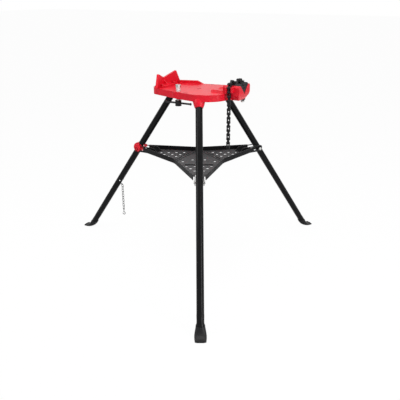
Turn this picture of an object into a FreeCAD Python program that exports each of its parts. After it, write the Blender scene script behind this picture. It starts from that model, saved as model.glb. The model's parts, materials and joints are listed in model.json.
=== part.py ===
import FreeCAD, Part
import math
import os
from FreeCAD import Placement, Rotation, Vector

# Tripod pipe vise stand.  Frame: the floor is z = 0, the tripod's axis is the Z axis and the
# vise's jaw points along +X.  Millimetres.  The rear leg stands at 180 degrees, the near front
# leg at -60 and the far front leg at +60.

doc = FreeCAD.newDocument("pipe_vise_stand")
sheet = doc.addObject("Spreadsheet::Sheet", "Sizes")

DRIVING_SIZES = [
    # legs
    ("LegDia", 33.4), ("LegWall", 3.2), ("LegSplay", 35.0), ("PivotRadius", 144.0),
    ("PivotHeight", 879.0), ("PivotPinRad", 7.0), ("RunGap", 0.06), ("LegPlugLength", 26.0),
    # feet: heights over the floor, and distances from where the leg's axis meets it
    ("AnkleTop", 80.0), ("AnkleBend", 58.0), ("AnkleMid", 30.0), ("AnkleMidHalfWidth", 20.0),
    ("AnkleMidHalfThick", 15.5), ("HeelSetback", 1.5), ("HeelHeight", 12.0), ("HeelHalfThick", 9.0),
    ("HeelAngle", 27.0), ("ToeStart", 16.0), ("ToeEnd", 35.5), ("ToeHeight", 5.2),
    ("ToeHalfWidth", 24.0), ("ToeHalfThick", 4.2), ("ToeTaper", 1.4), ("SoleThick", 2.2),
    ("VinylWall", 2.0), ("VinylTop", 42.0),
    # head casting: heights are over the leg pivots or over the deck
    ("DeckRise", 25.0), ("DeckThick", 6.5), ("SkirtDepth", 31.5), ("SkirtWall", 7.0),
    ("CupTopRad", 30.0), ("CupBowlRad", 27.6), ("CupEndRad", 19.0), ("CupLength", 53.0),
    ("CupRise", 8.0), ("CupGap", 0.6), ("PinBossRad", 11.0), ("PinBossStandout", 1.2),
    ("BlockHalfWidth", 60.0), ("BlockKeel", 34.0), ("BlockFront", 246.0), ("BlockRear", 96.0),
    ("BlockShoulder", 6.0), ("SaddleRise", 12.0), ("SaddleInset", 12.0), ("SaddleHalf", 22.0),
    ("RimHeight", 16.0), ("RimWidth", 9.0), ("RimStart", -168.0), ("RimEnd", -44.0),
    ("RimFall", 32.0), ("SlotLong", 22.0), ("SlotWide", 7.0),
    # jaw
    ("SeatEndRise", 37.0), ("JawSlope", 45.0), ("JawThick", 12.0), ("JawHalfWidth", 42.0),
    ("JawLength", 74.0), ("JawScrewRad", 4.0), ("JawScrewLength", 20.0), ("JawToothPitch", 6.0),
    ("JawToothDepth", 1.6),
    # pipe rest
    ("RestX", -211.0), ("RestPeakY", 86.0), ("RestPeakRise", 66.0), ("RestValleyRise", 37.0),
    ("RestFootY", 118.0), ("RestThick", 11.0), ("RestSweep", 15.5), ("RestFlange", 50.0),
    ("RestFlangeThick", 7.0), ("RestRibRise", 30.0), ("RestRibThick", 6.0),
    ("RestScrewRad", 5.0), ("RestScrewHead", 9.5), ("RestScrewHeight", 6.5),
    ("RestScrewGrip", 24.0), ("RestScrewY", 52.0), ("RestScrewInset", 14.0),
    # ceiling brace screw
    ("BraceX", -50.0), ("BraceY", -110.0), ("BraceRad", 11.0), ("BraceRise", 19.0),
    ("BraceBossRad", 30.0), ("BraceBossDepth", 30.0), ("BraceCupRad", 12.6),
    ("BraceCupHeight", 11.0), ("BraceCupWall", 2.6), ("BraceCupFloor", 4.0),
    ("BraceCupGap", 0.3), ("BraceHubRad", 15.0), ("BraceHubHeight", 27.0),
    ("BraceHubDrop", 13.0), ("BraceHubGrip", 4.0), ("BraceBarRad", 4.6), ("BraceBarLength", 138.0),
    # chain tension screw
    ("ChainX", 200.0), ("TensionY", 80.0), ("TensionRad", 8.0), ("LugRise", 2.0),
    ("LugThick", 22.0), ("LugHalfWidth", 19.0), ("TensionHubRad", 13.0),
    ("TensionHubHeight", 28.0), ("TensionHubGap", 0.4), ("TensionTail", 12.0),
    ("TensionTravel", 10.0), ("TensionBarRad", 4.0), ("TensionBarLength", 104.0),
    ("TensionBarRise", 7.0), ("TensionBarSink", 1.5), ("EyeRise", 28.0), ("EyeRad", 6.4),
    ("EyeFoot", 14.0), ("EyeShaftDrop", 8.5),
    # vise chain
    ("LinkPitch", 20.0), ("LinkCount", 23.0), ("LinkHalfHeight", 6.8), ("LinkPinRad", 3.0),
    ("LinkPinHead", 2.2), ("InnerThick", 8.0), ("PlateThick", 3.0), ("PlateGap", 0.35),
    ("ChainLift", 1.2), ("TailGap", 2.6), ("HookReach", 17.0), ("HookRoot", 12.0),
    ("HornThick", 10.0), ("HornGap", 1.2),
    # tray: heights are over the axis of its hinges
    ("TrayHeight", 538.0), ("HingeRadius", 85.0), ("SeamRadius", 77.5), ("SeamHalfGap", 1.5),
    ("CornerRadius", 144.5), ("SheetThick", 2.0), ("SheetRise", 8.0), ("LipThick", 2.0),
    ("LipRise", 29.0), ("KnuckleRad", 5.2), ("HingePinRad", 3.0), ("HingePinLength", 194.0),
    ("KnuckleWeb", 4.0), ("CentreWeb", 14.0), ("CentreWebRise", 2.5), ("LeafRootHalf", 120.0),
    ("TrayBoltRise", 12.0), ("TipSetback", 24.4), ("ThroatLength", 127.0), ("ThroatHalf", 18.4),
    ("ThroatRound", 6.0), ("EarThick", 3.4), ("EarRoot", 8.0), ("EarLow", 2.0), ("EarHigh", 31.0),
    ("EarEnd", 12.6), ("ChannelGap", 2.0), ("ChannelRun", 30.0), ("BoltRad", 4.0),
    ("BoltHeadRad", 6.5), ("BoltHeadHeight", 3.5),
    ("SlotGap", 0.9), ("WasherRad", 8.0), ("WasherThick", 1.2), ("WasherGap", 0.3),
    ("LeafFold", 81.29), ("FoldDraw", 41.6), ("StripReach", 24.0), ("StripThick", 1.0),
    ("PadStart", 6.2), ("PadWidth", 11.5), ("PadInner", 20.0), ("PadOuter", 70.0),
    ("PadRise", 3.5), ("HandSlotLength", 20.0), ("HandSlotWidth", 6.0), ("HandSlotReach", 12.0),
    ("TrayHoleRad", 7.5), ("TrayHolePitch", 41.0), ("TrayHoleMargin", 24.0),
    ("CentreHoleNear", 36.0), ("CentreHoleFar", 94.0),
    # clamp on the rear leg
    ("ClampRad", 26.0), ("ClampHalfWidth", 26.0), ("ClampRound", 12.0), ("ClampRise", 9.0),
    ("ClampOut", 2.5), ("ClampGap", 0.15), ("ClampSlotGap", 0.4), ("ClampBridge", 19.6),
    ("ClampBridgeStart", 6.0),
    ("ClampHeadRoom", 9.5), ("ClampLugReach", 51.0), ("ClampLugLow", 12.0),
    ("ClampLugHeight", 16.0), ("ClampLugHalf", 8.0),
    # retaining chain under the rear leg
    ("RetainerHeight", 332.0), ("RingWire", 2.4), ("RingLength", 20.0), ("RingWidth", 14.0),
    ("RingGap", 0.3), ("RetainerLinks", 10.0), ("EyeStemRad", 2.4), ("EyeStemOut", 3.0),
    ("EyeLoopRad", 5.0), ("HookEyeRad", 4.2), ("HookBowRad", 8.0), ("HookWireRad", 1.7),
    ("HookShank", 15.0), ("HookMouth", 7.0), ("HookDrop", 31.0),
]
for row, (alias, number) in enumerate(DRIVING_SIZES, start=1):
    sheet.set("A%d" % row, alias)
    sheet.set("B%d" % row, repr(number))
    sheet.setAlias("B%d" % row, alias)
doc.recompute()


def size(alias):
    """A driving dimension, read from the sheet."""
    return float(sheet.get(alias))


UP = Vector(0, 0, 1)
REAR, NEAR, FAR = 180.0, -60.0, 60.0
LEGS = [("rear", REAR), ("near", NEAR), ("far", FAR)]
splay = math.radians(size("LegSplay"))
LEG_DOWN = Vector(math.sin(splay), 0, -math.cos(splay))
PIVOT = Vector(size("PivotRadius"), 0, size("PivotHeight"))
ALONG_X = Rotation(Vector(0, 1, 0), Vector(0, 0, 1), Vector(1, 0, 0), "ZXY")
deck_top = PIVOT.z + size("DeckRise")
deck_under = deck_top - size("DeckThick")
skirt_bottom = deck_top - size("SkirtDepth")
leg_rad = size("LegDia") / 2
reach_to_tray = (PIVOT.z - size("TrayHeight") - size("TrayBoltRise")) / math.cos(splay)
jaw_angle = math.radians(size("JawSlope"))
jaw_rise = math.tan(jaw_angle)
seat_end = size("JawHalfWidth")
seat_end_z = deck_top + size("SeatEndRise")
jaw_vertex = seat_end_z - seat_end * jaw_rise
parts = []


# ---------------------------------------------------------------- helpers
def keep(obj, name):
    """Labels a finished sub-part and lists it for export."""
    obj.Label = name
    parts.append(obj)
    return obj


def primitive(kind, name, sizes, place=None):
    """A Part primitive whose sizes are expressions on the sheet."""
    obj = doc.addObject("Part::" + kind, name)
    for prop, expression in sizes.items():
        obj.setExpression(prop, expression)
    if place is not None:
        obj.Placement = place
    return obj


def feature(name, shape, place=None):
    """A computed shape, where no primitive or sketch fits."""
    obj = doc.addObject("Part::Feature", name)
    obj.Shape = shape
    if place is not None:
        obj.Placement = place
    return obj


def fuse(name, objects):
    joined = doc.addObject("Part::MultiFuse", name)
    joined.Shapes = objects
    joined.Refine = True
    return joined


def cut(name, base, tool):
    piece = doc.addObject("Part::Cut", name)
    piece.Base = base
    piece.Tool = tool
    piece.Refine = True
    return piece


def along(start, direction):
    """The placement that turns local +Z into the direction, from the start point."""
    return Placement(start, Rotation(UP, direction))


def turned(azimuth):
    return Placement(Vector(0, 0, 0), Rotation(UP, azimuth))


def on_leg(distance):
    """A point on the leg's axis, that far below the pivot, in the leg's own radial plane."""
    return PIVOT + LEG_DOWN * distance


def rounded(points, radii):
    """Lines and tangent arcs through the corners of a closed outline in the XY plane."""
    count = len(points)
    starts, ends, arcs = [], [], []
    for i in range(count):
        corner = Vector(*points[i], 0)
        before = (Vector(*points[i - 1], 0) - corner).normalize()
        after = (Vector(*points[(i + 1) % count], 0) - corner).normalize()
        if radii[i] <= 0:
            starts.append(corner)
            ends.append(corner)
            arcs.append(None)
            continue
        half = before.getAngle(after) / 2
        reach = radii[i] / math.tan(half)
        middle = (before + after).normalize()
        centre = corner + middle * (radii[i] / math.sin(half))
        starts.append(corner + before * reach)
        ends.append(corner + after * reach)
        arcs.append(centre - middle * radii[i])
    edges = []
    for i in range(count):
        if arcs[i] is not None:
            edges.append(Part.Arc(starts[i], arcs[i], ends[i]))
        following = starts[(i + 1) % count]
        if (following - ends[i]).Length > 1e-6:
            edges.append(Part.LineSegment(ends[i], following))
    return edges


def prism(edges, height, place=None):
    """A solid from a closed outline in the XY plane, extruded along local Z."""
    wire = Part.Wire(Part.__sortEdges__([edge.toShape() for edge in edges]))
    solid = Part.Face(wire).extrude(Vector(0, 0, height))
    if place is not None:
        solid.Placement = place.multiply(solid.Placement)
    return solid


def inset(points, distance):
    """The closed, counter-clockwise outline moved inwards by a distance."""
    moved = []
    count = len(points)
    for i in range(count):
        here = Vector(*points[i], 0)
        before = (here - Vector(*points[i - 1], 0)).normalize()
        after = (Vector(*points[(i + 1) % count], 0) - here).normalize()
        inward_before = Vector(-before.y, before.x, 0)
        inward_after = Vector(-after.y, after.x, 0)
        middle = (inward_before + inward_after).normalize()
        moved_point = here + middle * (distance / middle.dot(inward_after))
        moved.append((moved_point.x, moved_point.y))
    return moved


def plane_of(body, role):
    return next(f for f in body.Origin.OriginFeatures if f.Role == role)


def sketch_on(body, name, role, edges, offset=0.0):
    sketch = body.newObject("Sketcher::SketchObject", name)
    sketch.AttachmentSupport = [(plane_of(body, role), "")]
    sketch.MapMode = "FlatFace"
    sketch.AttachmentOffset = Placement(Vector(0, 0, offset), Rotation())
    sketch.addGeometry(edges, False)
    return sketch


def pad(body, name, sketch, expression, down=False):
    feature_pad = body.newObject("PartDesign::Pad", name)
    feature_pad.Profile = sketch
    feature_pad.setExpression("Length", expression)
    feature_pad.Reversed = down
    return feature_pad


def pocket(body, name, sketch, expression, up=False):
    feature_pocket = body.newObject("PartDesign::Pocket", name)
    feature_pocket.Profile = sketch
    feature_pocket.setExpression("Length", expression)
    feature_pocket.Reversed = up
    return feature_pocket


def hex_bolt(head_rad, head_height, shank_rad, length):
    """A hexagon bolt: the head stands on z = 0 and the shank runs down."""
    corners = [(head_rad * math.cos(math.radians(a)), head_rad * math.sin(math.radians(a)))
               for a in range(0, 360, 60)]
    head = prism(rounded(corners, [0] * 6), head_height)
    dome = Part.makeCone(head_rad * 1.25, head_rad * 0.8, head_height * 1.02)
    shank = Part.makeCylinder(shank_rad, length, Vector(0, 0, -length))
    return head.common(dome).fuse(shank).removeSplitter()


# ---------------------------------------------------------------- head casting
HALF_OUTLINE = [(-226, 58), (-205, 86), (-40, 139), (62, 159), (128, 140), (164, 106), (189, 44)]
HALF_RADII = [26, 40, 130, 90, 60, 40, 8]
half_low = [(x, -y) for x, y in HALF_OUTLINE]
half_high = list(reversed(HALF_OUTLINE))
base_outline = half_low + half_high
base_radii = HALF_RADII + list(reversed(HALF_RADII))


def inner_outline(wall):
    """The base's outline moved inwards by a wall, with its corners eased to match."""
    return rounded(inset(base_outline, wall), [max(r - wall, 3) for r in base_radii])


plate = doc.addObject("PartDesign::Body", "BasePlate")
outline_sketch = sketch_on(plate, "BaseOutline", "XY_Plane", rounded(base_outline, base_radii),
                           deck_top)
pad(plate, "BasePad", outline_sketch, "Sizes.SkirtDepth", down=True)
hollow_sketch = sketch_on(plate, "BaseHollow", "XY_Plane", inner_outline(size("SkirtWall")),
                          skirt_bottom)
doc.recompute()
solid_volume = plate.Shape.Volume
pocket(plate, "BaseUnderside", hollow_sketch, "Sizes.SkirtDepth - Sizes.DeckThick", up=True)
doc.recompute()
if plate.Shape.Volume > 0.6 * solid_volume:
    raise RuntimeError("the base's underside was not hollowed out")

# The front block: a keel-shaped beam whose top is a V seat for the jaw.
block_w, keel_w = size("BlockHalfWidth"), size("BlockKeel")
shoulder = size("BlockShoulder")
section = [(0, jaw_vertex), (seat_end, seat_end_z), (block_w - shoulder, seat_end_z),
           (block_w, seat_end_z - shoulder - 2), (block_w, deck_top - shoulder - 2),
           (keel_w, skirt_bottom - 2), (-keel_w, skirt_bottom - 2),
           (-block_w, deck_top - shoulder - 2), (-block_w, seat_end_z - shoulder - 2),
           (-block_w + shoulder, seat_end_z), (-seat_end, seat_end_z)]
section_radii = [0, 3, 4, 0, 10, 14, 14, 10, 0, 4, 3]
jaw_length, block_front = size("JawLength"), size("BlockFront")
jaw_rear = block_front - jaw_length
seat_block = prism(rounded(section, section_radii), jaw_length + 10,
                   Placement(Vector(jaw_rear - 10, 0, 0), ALONG_X))
# The seat behind the jaw is a lower saddle that runs back into the deck.
saddle_out, saddle_in = block_w - size("SaddleInset"), size("SaddleHalf")
saddle = [(-saddle_out, deck_top + size("SaddleRise")), (-saddle_in, deck_top + 2),
          (saddle_in, deck_top + 2), (saddle_out, deck_top + size("SaddleRise")),
          (block_w - 4, deck_under), (-block_w + 4, deck_under)]
saddle_block = prism(rounded(saddle, [6, 8, 8, 6, 0, 0]), jaw_rear - size("BlockRear"),
                     Placement(Vector(size("BlockRear"), 0, 0), ALONG_X))
block = feature("FrontBlock", seat_block.fuse(saddle_block))
seat_room = feature("SeatRoom", prism(
    rounded([(0, jaw_vertex), (seat_end, seat_end_z), (-seat_end, seat_end_z)], [0] * 3),
    jaw_length, Placement(Vector(jaw_rear, 0, 0), ALONG_X)))
nose_clear = size("SkirtDepth")
nose_cut = feature("NoseSlope", prism(
    rounded([(block_front + nose_clear, skirt_bottom - nose_clear),
             (block_front + nose_clear, seat_end_z + nose_clear / 3),
             (block_front + 4, seat_end_z + nose_clear / 3), (block_front, deck_top),
             (block_front - 4, skirt_bottom + nose_clear / 2),
             (block_front - nose_clear, skirt_bottom - nose_clear)],
            [0, 0, 0, 30, 20, 0]), 2 * block_w + 20,
    Placement(Vector(0, block_w + 10, 0), Rotation(Vector(1, 0, 0), 90))))

# Leg sockets: a bowl-shaped cup round each leg, open towards the tripod's axis for the fold.
cup_top, cup_length = size("CupTopRad"), size("CupLength")
room_reach = 2 * cup_length + size("LegDia")
bore_rad = leg_rad + size("CupGap")
pin_length = 2 * (cup_top + size("PinBossStandout") + 1)
cups, cup_tools = [], []
for side, azimuth in LEGS:
    cup_profile = Part.Wire([
        Part.LineSegment(Vector(0, 0, 0), Vector(cup_top, 0, 0)).toShape(),
        Part.Arc(Vector(cup_top, 0, 0), Vector(size("CupBowlRad"), 0, cup_length / 2),
                 Vector(size("CupEndRad"), 0, cup_length)).toShape(),
        Part.LineSegment(Vector(size("CupEndRad"), 0, cup_length),
                         Vector(0, 0, cup_length)).toShape(),
        Part.LineSegment(Vector(0, 0, cup_length), Vector(0, 0, 0)).toShape()])
    bowl = Part.Face(cup_profile).revolve(Vector(0, 0, 0), UP, 360)
    cups.append(feature("Cup_" + side, bowl, turned(azimuth).multiply(
        along(on_leg(-size("CupRise")), LEG_DOWN))))
    boss = primitive("Cylinder", "PinBoss_" + side, {
        "Radius": "Sizes.PinBossRad", "Height": "(Sizes.CupTopRad + Sizes.PinBossStandout) * 2"})
    boss.Placement = turned(azimuth).multiply(along(
        PIVOT - Vector(0, cup_top + size("PinBossStandout"), 0), Vector(0, 1, 0)))
    cups.append(boss)
    tube_room = Part.makeCylinder(bore_rad, room_reach, on_leg(-cup_top), LEG_DOWN)
    fold_room = Part.makeBox(room_reach, 2 * bore_rad, room_reach + cup_top,
                             Vector(0, -bore_rad, 0))
    fold_room.Placement = Placement(on_leg(-cup_top), Rotation(UP, LEG_DOWN)).multiply(
        fold_room.Placement)
    ball_room = Part.makeSphere(bore_rad, PIVOT)
    pin_hole = Part.makeCylinder(size("PivotPinRad"), pin_length, PIVOT - Vector(
        0, pin_length / 2, 0), Vector(0, 1, 0))
    room = tube_room.fuse([fold_room, ball_room]).common(
        Part.makeBox(3 * PIVOT.x, 2 * PIVOT.x, 2 * room_reach,
                     Vector(0, -PIVOT.x, deck_under - 2 * room_reach)))
    cup_tools.append(feature("LegRoom_" + side, room.fuse(pin_hole), turned(azimuth)))
# The rear socket ends level with the skirt; only the two front cups hang below it.
rear_trim = primitive("Box", "RearCupTrim", {
    "Length": "Sizes.PivotRadius", "Width": "Sizes.CupTopRad * 3",
    "Height": "Sizes.CupLength * 2"})
rear_trim.setExpression("Placement.Base.x", "-Sizes.PivotRadius * 1.7")
rear_trim.setExpression("Placement.Base.y", "-Sizes.CupTopRad * 1.5")
rear_trim.setExpression(
    "Placement.Base.z",
    "Sizes.PivotHeight + Sizes.DeckRise - Sizes.SkirtDepth - Sizes.CupLength * 2")

brace_boss = primitive("Cylinder", "BraceBoss", {
    "Radius": "Sizes.BraceBossRad", "Height": "Sizes.BraceBossDepth - 1"})
brace_at = Vector(size("BraceX"), size("BraceY"), 0)
brace_boss.Placement = Placement(
    brace_at + UP * (deck_top - size("BraceBossDepth")), Rotation())
brace_hole = primitive("Cylinder", "BraceHole", {
    "Radius": "Sizes.BraceRad + Sizes.RunGap", "Height": "Sizes.BraceBossDepth * 3"})
brace_hole.Placement = Placement(
    brace_at + UP * (deck_top - 2 * size("BraceBossDepth")), Rotation())

# Far rim: a raised lip that follows the outline from beside the rest and falls at its front.
rim_high = size("RimHeight")
rim_ring = prism(rounded(base_outline, base_radii), rim_high + 1,
                 Placement(UP * (deck_top - 1), Rotation()))
rim_inner = prism(inner_outline(size("RimWidth")), rim_high + 3,
                  Placement(UP * (deck_top - 2), Rotation()))
rim_start, rim_end = size("RimStart"), size("RimEnd")
rim_reach = 2 * size("PivotRadius")
rim_span = prism(rounded([(rim_start, deck_top - 1), (rim_end, deck_top - 1),
                          (rim_end - size("RimFall"), deck_top + rim_high),
                          (rim_start, deck_top + rim_high)], [0] * 4), rim_reach,
                 Placement(Vector(0, rim_reach + block_w, 0), Rotation(Vector(1, 0, 0), 90)))
far_rim = feature("FarRim", rim_ring.cut(rim_inner).common(rim_span))

# Lug on the far side of the block, for the chain's tension screw.
chain_x, tension_y = size("ChainX"), size("TensionY")
lug_half, lug_top = size("LugHalfWidth"), deck_top + size("LugRise")
lug = feature("TensionLug", prism(
    rounded([(chain_x - lug_half, block_w - 12), (chain_x + lug_half, block_w - 12),
             (chain_x + lug_half, tension_y + lug_half), (chain_x - lug_half, tension_y + lug_half)],
            [0, 0, lug_half - 1, lug_half - 1]), size("LugThick"),
    Placement(Vector(0, 0, lug_top - size("LugThick")), Rotation())))
tension_hole = primitive("Cylinder", "TensionHole", {
    "Radius": "Sizes.TensionRad + Sizes.RunGap", "Height": "Sizes.LugThick * 3"})
tension_hole.Placement = Placement(
    Vector(chain_x, tension_y, lug_top - 2 * size("LugThick")), Rotation())

# Near hook: two horns beside the chain's slot, standing out from the block's side.
outer_half = size("InnerThick") / 2 + size("PlateGap") + size("PlateThick")
pin_half = outer_half + size("LinkPinHead")
slot_half = pin_half + size("HornGap")
hook_reach, horn_t = size("HookReach"), size("HornThick")
hook_low, hook_high = deck_top + 8, seat_end_z - 4
horns = [Part.makeBox(horn_t, hook_reach + size("HookRoot"), hook_high - hook_low,
                      Vector(chain_x + (slot_half if sign > 0 else -slot_half - horn_t),
                             -block_w - hook_reach, hook_low))
         for sign in (-1, 1)]
hook = feature("ChainHook", horns[0].fuse(horns[1]))

# Oblong slots through the deck: one at its middle and one near its edge on either side.
slot_long, slot_wide = size("SlotLong") / 2, size("SlotWide") / 2
DECK_SLOTS = [(2, 0, 32), (4, -134, 10), (4, 134, -10)]
drains = [prism(rounded([(-slot_long, -slot_wide), (slot_long, -slot_wide),
                         (slot_long, slot_wide), (-slot_long, slot_wide)],
                        [slot_wide - 0.1] * 4), 4 * size("DeckThick"),
                Placement(Vector(x, y, deck_top - 2 * size("DeckThick")), Rotation(UP, angle)))
          for x, y, angle in DECK_SLOTS]
deck_slots = feature("DeckSlots", drains[0].fuse(drains[1:]))

rest_bolt_x = size("RestX") + size("RestFlange") - size("RestScrewInset")
rest_bolts_at = [Vector(rest_bolt_x, sign * size("RestScrewY"), 0) for sign in (-1, 1)]
rest_holes = feature("RestHoles", Part.makeCompound(
    [Part.makeCylinder(size("RestScrewRad"), 3 * size("RestScrewGrip"),
                       at + UP * (deck_top - 2 * size("RestScrewGrip")))
     for at in rest_bolts_at]))
jaw_bolts_at = [Vector(block_front - jaw_length * share, 0, 0) for share in (0.25, 0.75)]
jaw_screw_low = jaw_vertex + size("JawThick") - 3 - size("JawScrewLength")
jaw_holes = feature("JawHoles", Part.makeCompound(
    [Part.makeCylinder(size("JawScrewRad"),
                       size("JawScrewLength") + size("JawThick") + size("JawScrewRad"),
                       at + UP * jaw_screw_low) for at in jaw_bolts_at]))

trimmed_cup = cut("RearCup", cups[0], rear_trim)
casting = fuse("Casting", [plate, block, trimmed_cup, brace_boss, far_rim, lug, hook] + cups[1:])
casting_tools = fuse("CastingTools", cup_tools + [nose_cut, seat_room, brace_hole,
                                                  tension_hole, deck_slots])
casting_bolt_holes = doc.addObject("Part::Compound", "CastingBoltHoles")
casting_bolt_holes.Links = [rest_holes, jaw_holes]
casting_shaped = cut("CastingShaped", casting, casting_tools)
keep(cut("ViseBase", casting_shaped, casting_bolt_holes), "vise_base")

# ---------------------------------------------------------------- pipe rest
rest_x = size("RestX")
wings = []
for sign in (-1, 1):
    outline = [(0, deck_top), (size("RestFootY"), deck_top),
               (size("RestPeakY"), deck_top + size("RestPeakRise")),
               (0, deck_top + size("RestValleyRise"))]
    wing = prism(rounded(outline, [0, 0, 3, 0]), size("RestThick"),
                 Placement(Vector(0, 0, 0), ALONG_X))
    if sign < 0:
        wing = wing.mirror(Vector(0, 0, 0), Vector(0, 1, 0))
    wing.rotate(Vector(0, 0, 0), UP, -sign * size("RestSweep"))
    wings.append(wing)
flange_root, flange_end = size("RestScrewY") * 1.4, size("RestScrewY") + 12
flange = prism(rounded([(2, -flange_root), (size("RestFlange"), -flange_end),
                        (size("RestFlange"), flange_end), (2, flange_root)], [0, 10, 10, 0]),
               size("RestFlangeThick"), Placement(UP * deck_top, Rotation()))
rib_outline = [(0, 0), (size("RestFlange") - size("RestScrewInset"), 0),
               (size("RestThick"), size("RestRibRise")), (0, size("RestRibRise"))]
rib = prism(rounded(rib_outline, [0] * 4), size("RestRibThick"),
            Placement(Vector(0, size("RestRibThick") / 2, deck_top),
                      Rotation(Vector(1, 0, 0), 90)))
crown = wings[0].fuse([wings[1], flange, rib])
crown.translate(Vector(rest_x, 0, 0))
crown_body = feature("Crown", crown)
keep(cut("PipeRest", crown_body, rest_holes), "pipe_rest")

flange_top = deck_top + size("RestFlangeThick")
rest_screws = [hex_bolt(size("RestScrewHead"), size("RestScrewHeight"), size("RestScrewRad"),
                        size("RestFlangeThick") + size("RestScrewGrip"))
               for _ in rest_bolts_at]
for screw, at in zip(rest_screws, rest_bolts_at):
    screw.translate(at + UP * flange_top)
keep(feature("RestScrews", Part.makeCompound(rest_screws)), "rest_screws")

# ---------------------------------------------------------------- jaw
jaw_top = size("JawThick") / math.cos(jaw_angle)
lip_y, lip_z = size("JawThick") * math.sin(jaw_angle), size("JawThick") * math.cos(jaw_angle)
jaw_edge, jaw_edge_z = seat_end - lip_y, seat_end * jaw_rise + lip_z
jaw_outline = [(0, 0), (seat_end, seat_end * jaw_rise), (jaw_edge, jaw_edge_z), (0, jaw_top),
               (-jaw_edge, jaw_edge_z), (-seat_end, seat_end * jaw_rise)]
jaw_solid = prism(rounded(jaw_outline, [0] * 6), jaw_length - 4, Placement(
    Vector(jaw_rear + 2, 0, jaw_vertex), ALONG_X))
teeth = []
tooth, tooth_depth = size("JawToothPitch"), size("JawToothDepth")
for sign in (-1, 1):
    step = 1
    while step * tooth < jaw_edge - 2:
        y = step * tooth
        groove = Part.makeBox(jaw_length, 1.4 * tooth_depth, 2 * tooth_depth,
                              Vector(jaw_rear, -0.7 * tooth_depth, -tooth_depth))
        groove.Placement = Placement(
            Vector(0, sign * y, jaw_vertex + jaw_top + y * jaw_rise),
            Rotation(Vector(1, 0, 0), 45 + sign * size("JawSlope")))
        teeth.append(groove)
        step += 1
jaw_toothed = feature("JawToothed", jaw_solid.cut(Part.makeCompound(teeth)))
keep(cut("ViseJaw", jaw_toothed, jaw_holes), "vise_jaw")
jaw_screws = [primitive("Cylinder", "JawScrew%d" % i, {
    "Radius": "Sizes.JawScrewRad", "Height": "Sizes.JawScrewLength"},
    Placement(at + UP * jaw_screw_low, Rotation())) for i, at in enumerate(jaw_bolts_at)]
screws_group = doc.addObject("Part::Compound", "JawScrews")
screws_group.Links = jaw_screws
keep(screws_group, "jaw_screws")

# ---------------------------------------------------------------- leg pivot pins
pins_group = doc.addObject("Part::Compound", "PivotPins")
pivot_pins = []
for side, azimuth in LEGS:
    pin = primitive("Cylinder", "PivotPin_" + side, {
        "Radius": "Sizes.PivotPinRad", "Height": "(Sizes.CupTopRad + Sizes.PinBossStandout + 1) * 2"})
    pin.Placement = turned(azimuth).multiply(
        along(PIVOT - Vector(0, pin_length / 2, 0), Vector(0, 1, 0)))
    pivot_pins.append(pin)
pins_group.Links = pivot_pins
keep(pins_group, "leg_pivot_pins")

# ---------------------------------------------------------------- legs
floor_reach = PIVOT.x + PIVOT.z * math.tan(splay)
tube_length = (PIVOT.z - size("AnkleTop")) / math.cos(splay)
UNDER_LEG = Vector(-math.cos(splay), 0, -math.sin(splay))


def foot_section(at, pitch, wide, thick):
    """An oval across a foot, whose path there runs outwards, pitch degrees below the level."""
    down = math.radians(pitch)
    oval = Part.Wire(Part.Ellipse(Vector(0, 0, 0), wide + 1e-3, thick).toShape())
    oval.Placement = Placement(at, Rotation(
        Vector(0, 1, 0), Vector(math.sin(down), 0, math.cos(down)),
        Vector(math.cos(down), 0, -math.sin(down)), "ZXY"))
    return oval


def foot_loft(grow):
    """A leg's end, pressed from round to a flat toe that turns outwards, grown by a coating."""
    leg_pitch = 90 - size("LegSplay")
    toe_wide, toe_thick = size("ToeHalfWidth") + grow, size("ToeHalfThick") + grow
    sections = [
        foot_section(on_leg(tube_length), leg_pitch, leg_rad + grow, leg_rad + grow),
        foot_section(on_leg((PIVOT.z - size("AnkleBend")) / math.cos(splay)), leg_pitch,
                     leg_rad + grow, leg_rad + grow),
        foot_section(on_leg((PIVOT.z - size("AnkleMid")) / math.cos(splay)), leg_pitch,
                     size("AnkleMidHalfWidth") + grow, size("AnkleMidHalfThick") + grow),
        foot_section(Vector(floor_reach - size("HeelSetback"), 0, size("HeelHeight")),
                     size("HeelAngle"), toe_wide, size("HeelHalfThick") + grow),
        foot_section(Vector(floor_reach + size("ToeStart"), 0, size("ToeHeight")), 0,
                     toe_wide, toe_thick),
        foot_section(Vector(floor_reach + size("ToeEnd") + grow, 0, size("ToeHeight") - 0.4), 0,
                     toe_wide - size("ToeTaper"), toe_thick - 0.6)]
    return Part.makeLoft(sections, True, False)


def slab(low, high):
    """A level slab round the feet, between two heights."""
    return Part.makeBox(floor_reach, floor_reach, high - low,
                        Vector(floor_reach / 2, -floor_reach / 2, low))


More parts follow.
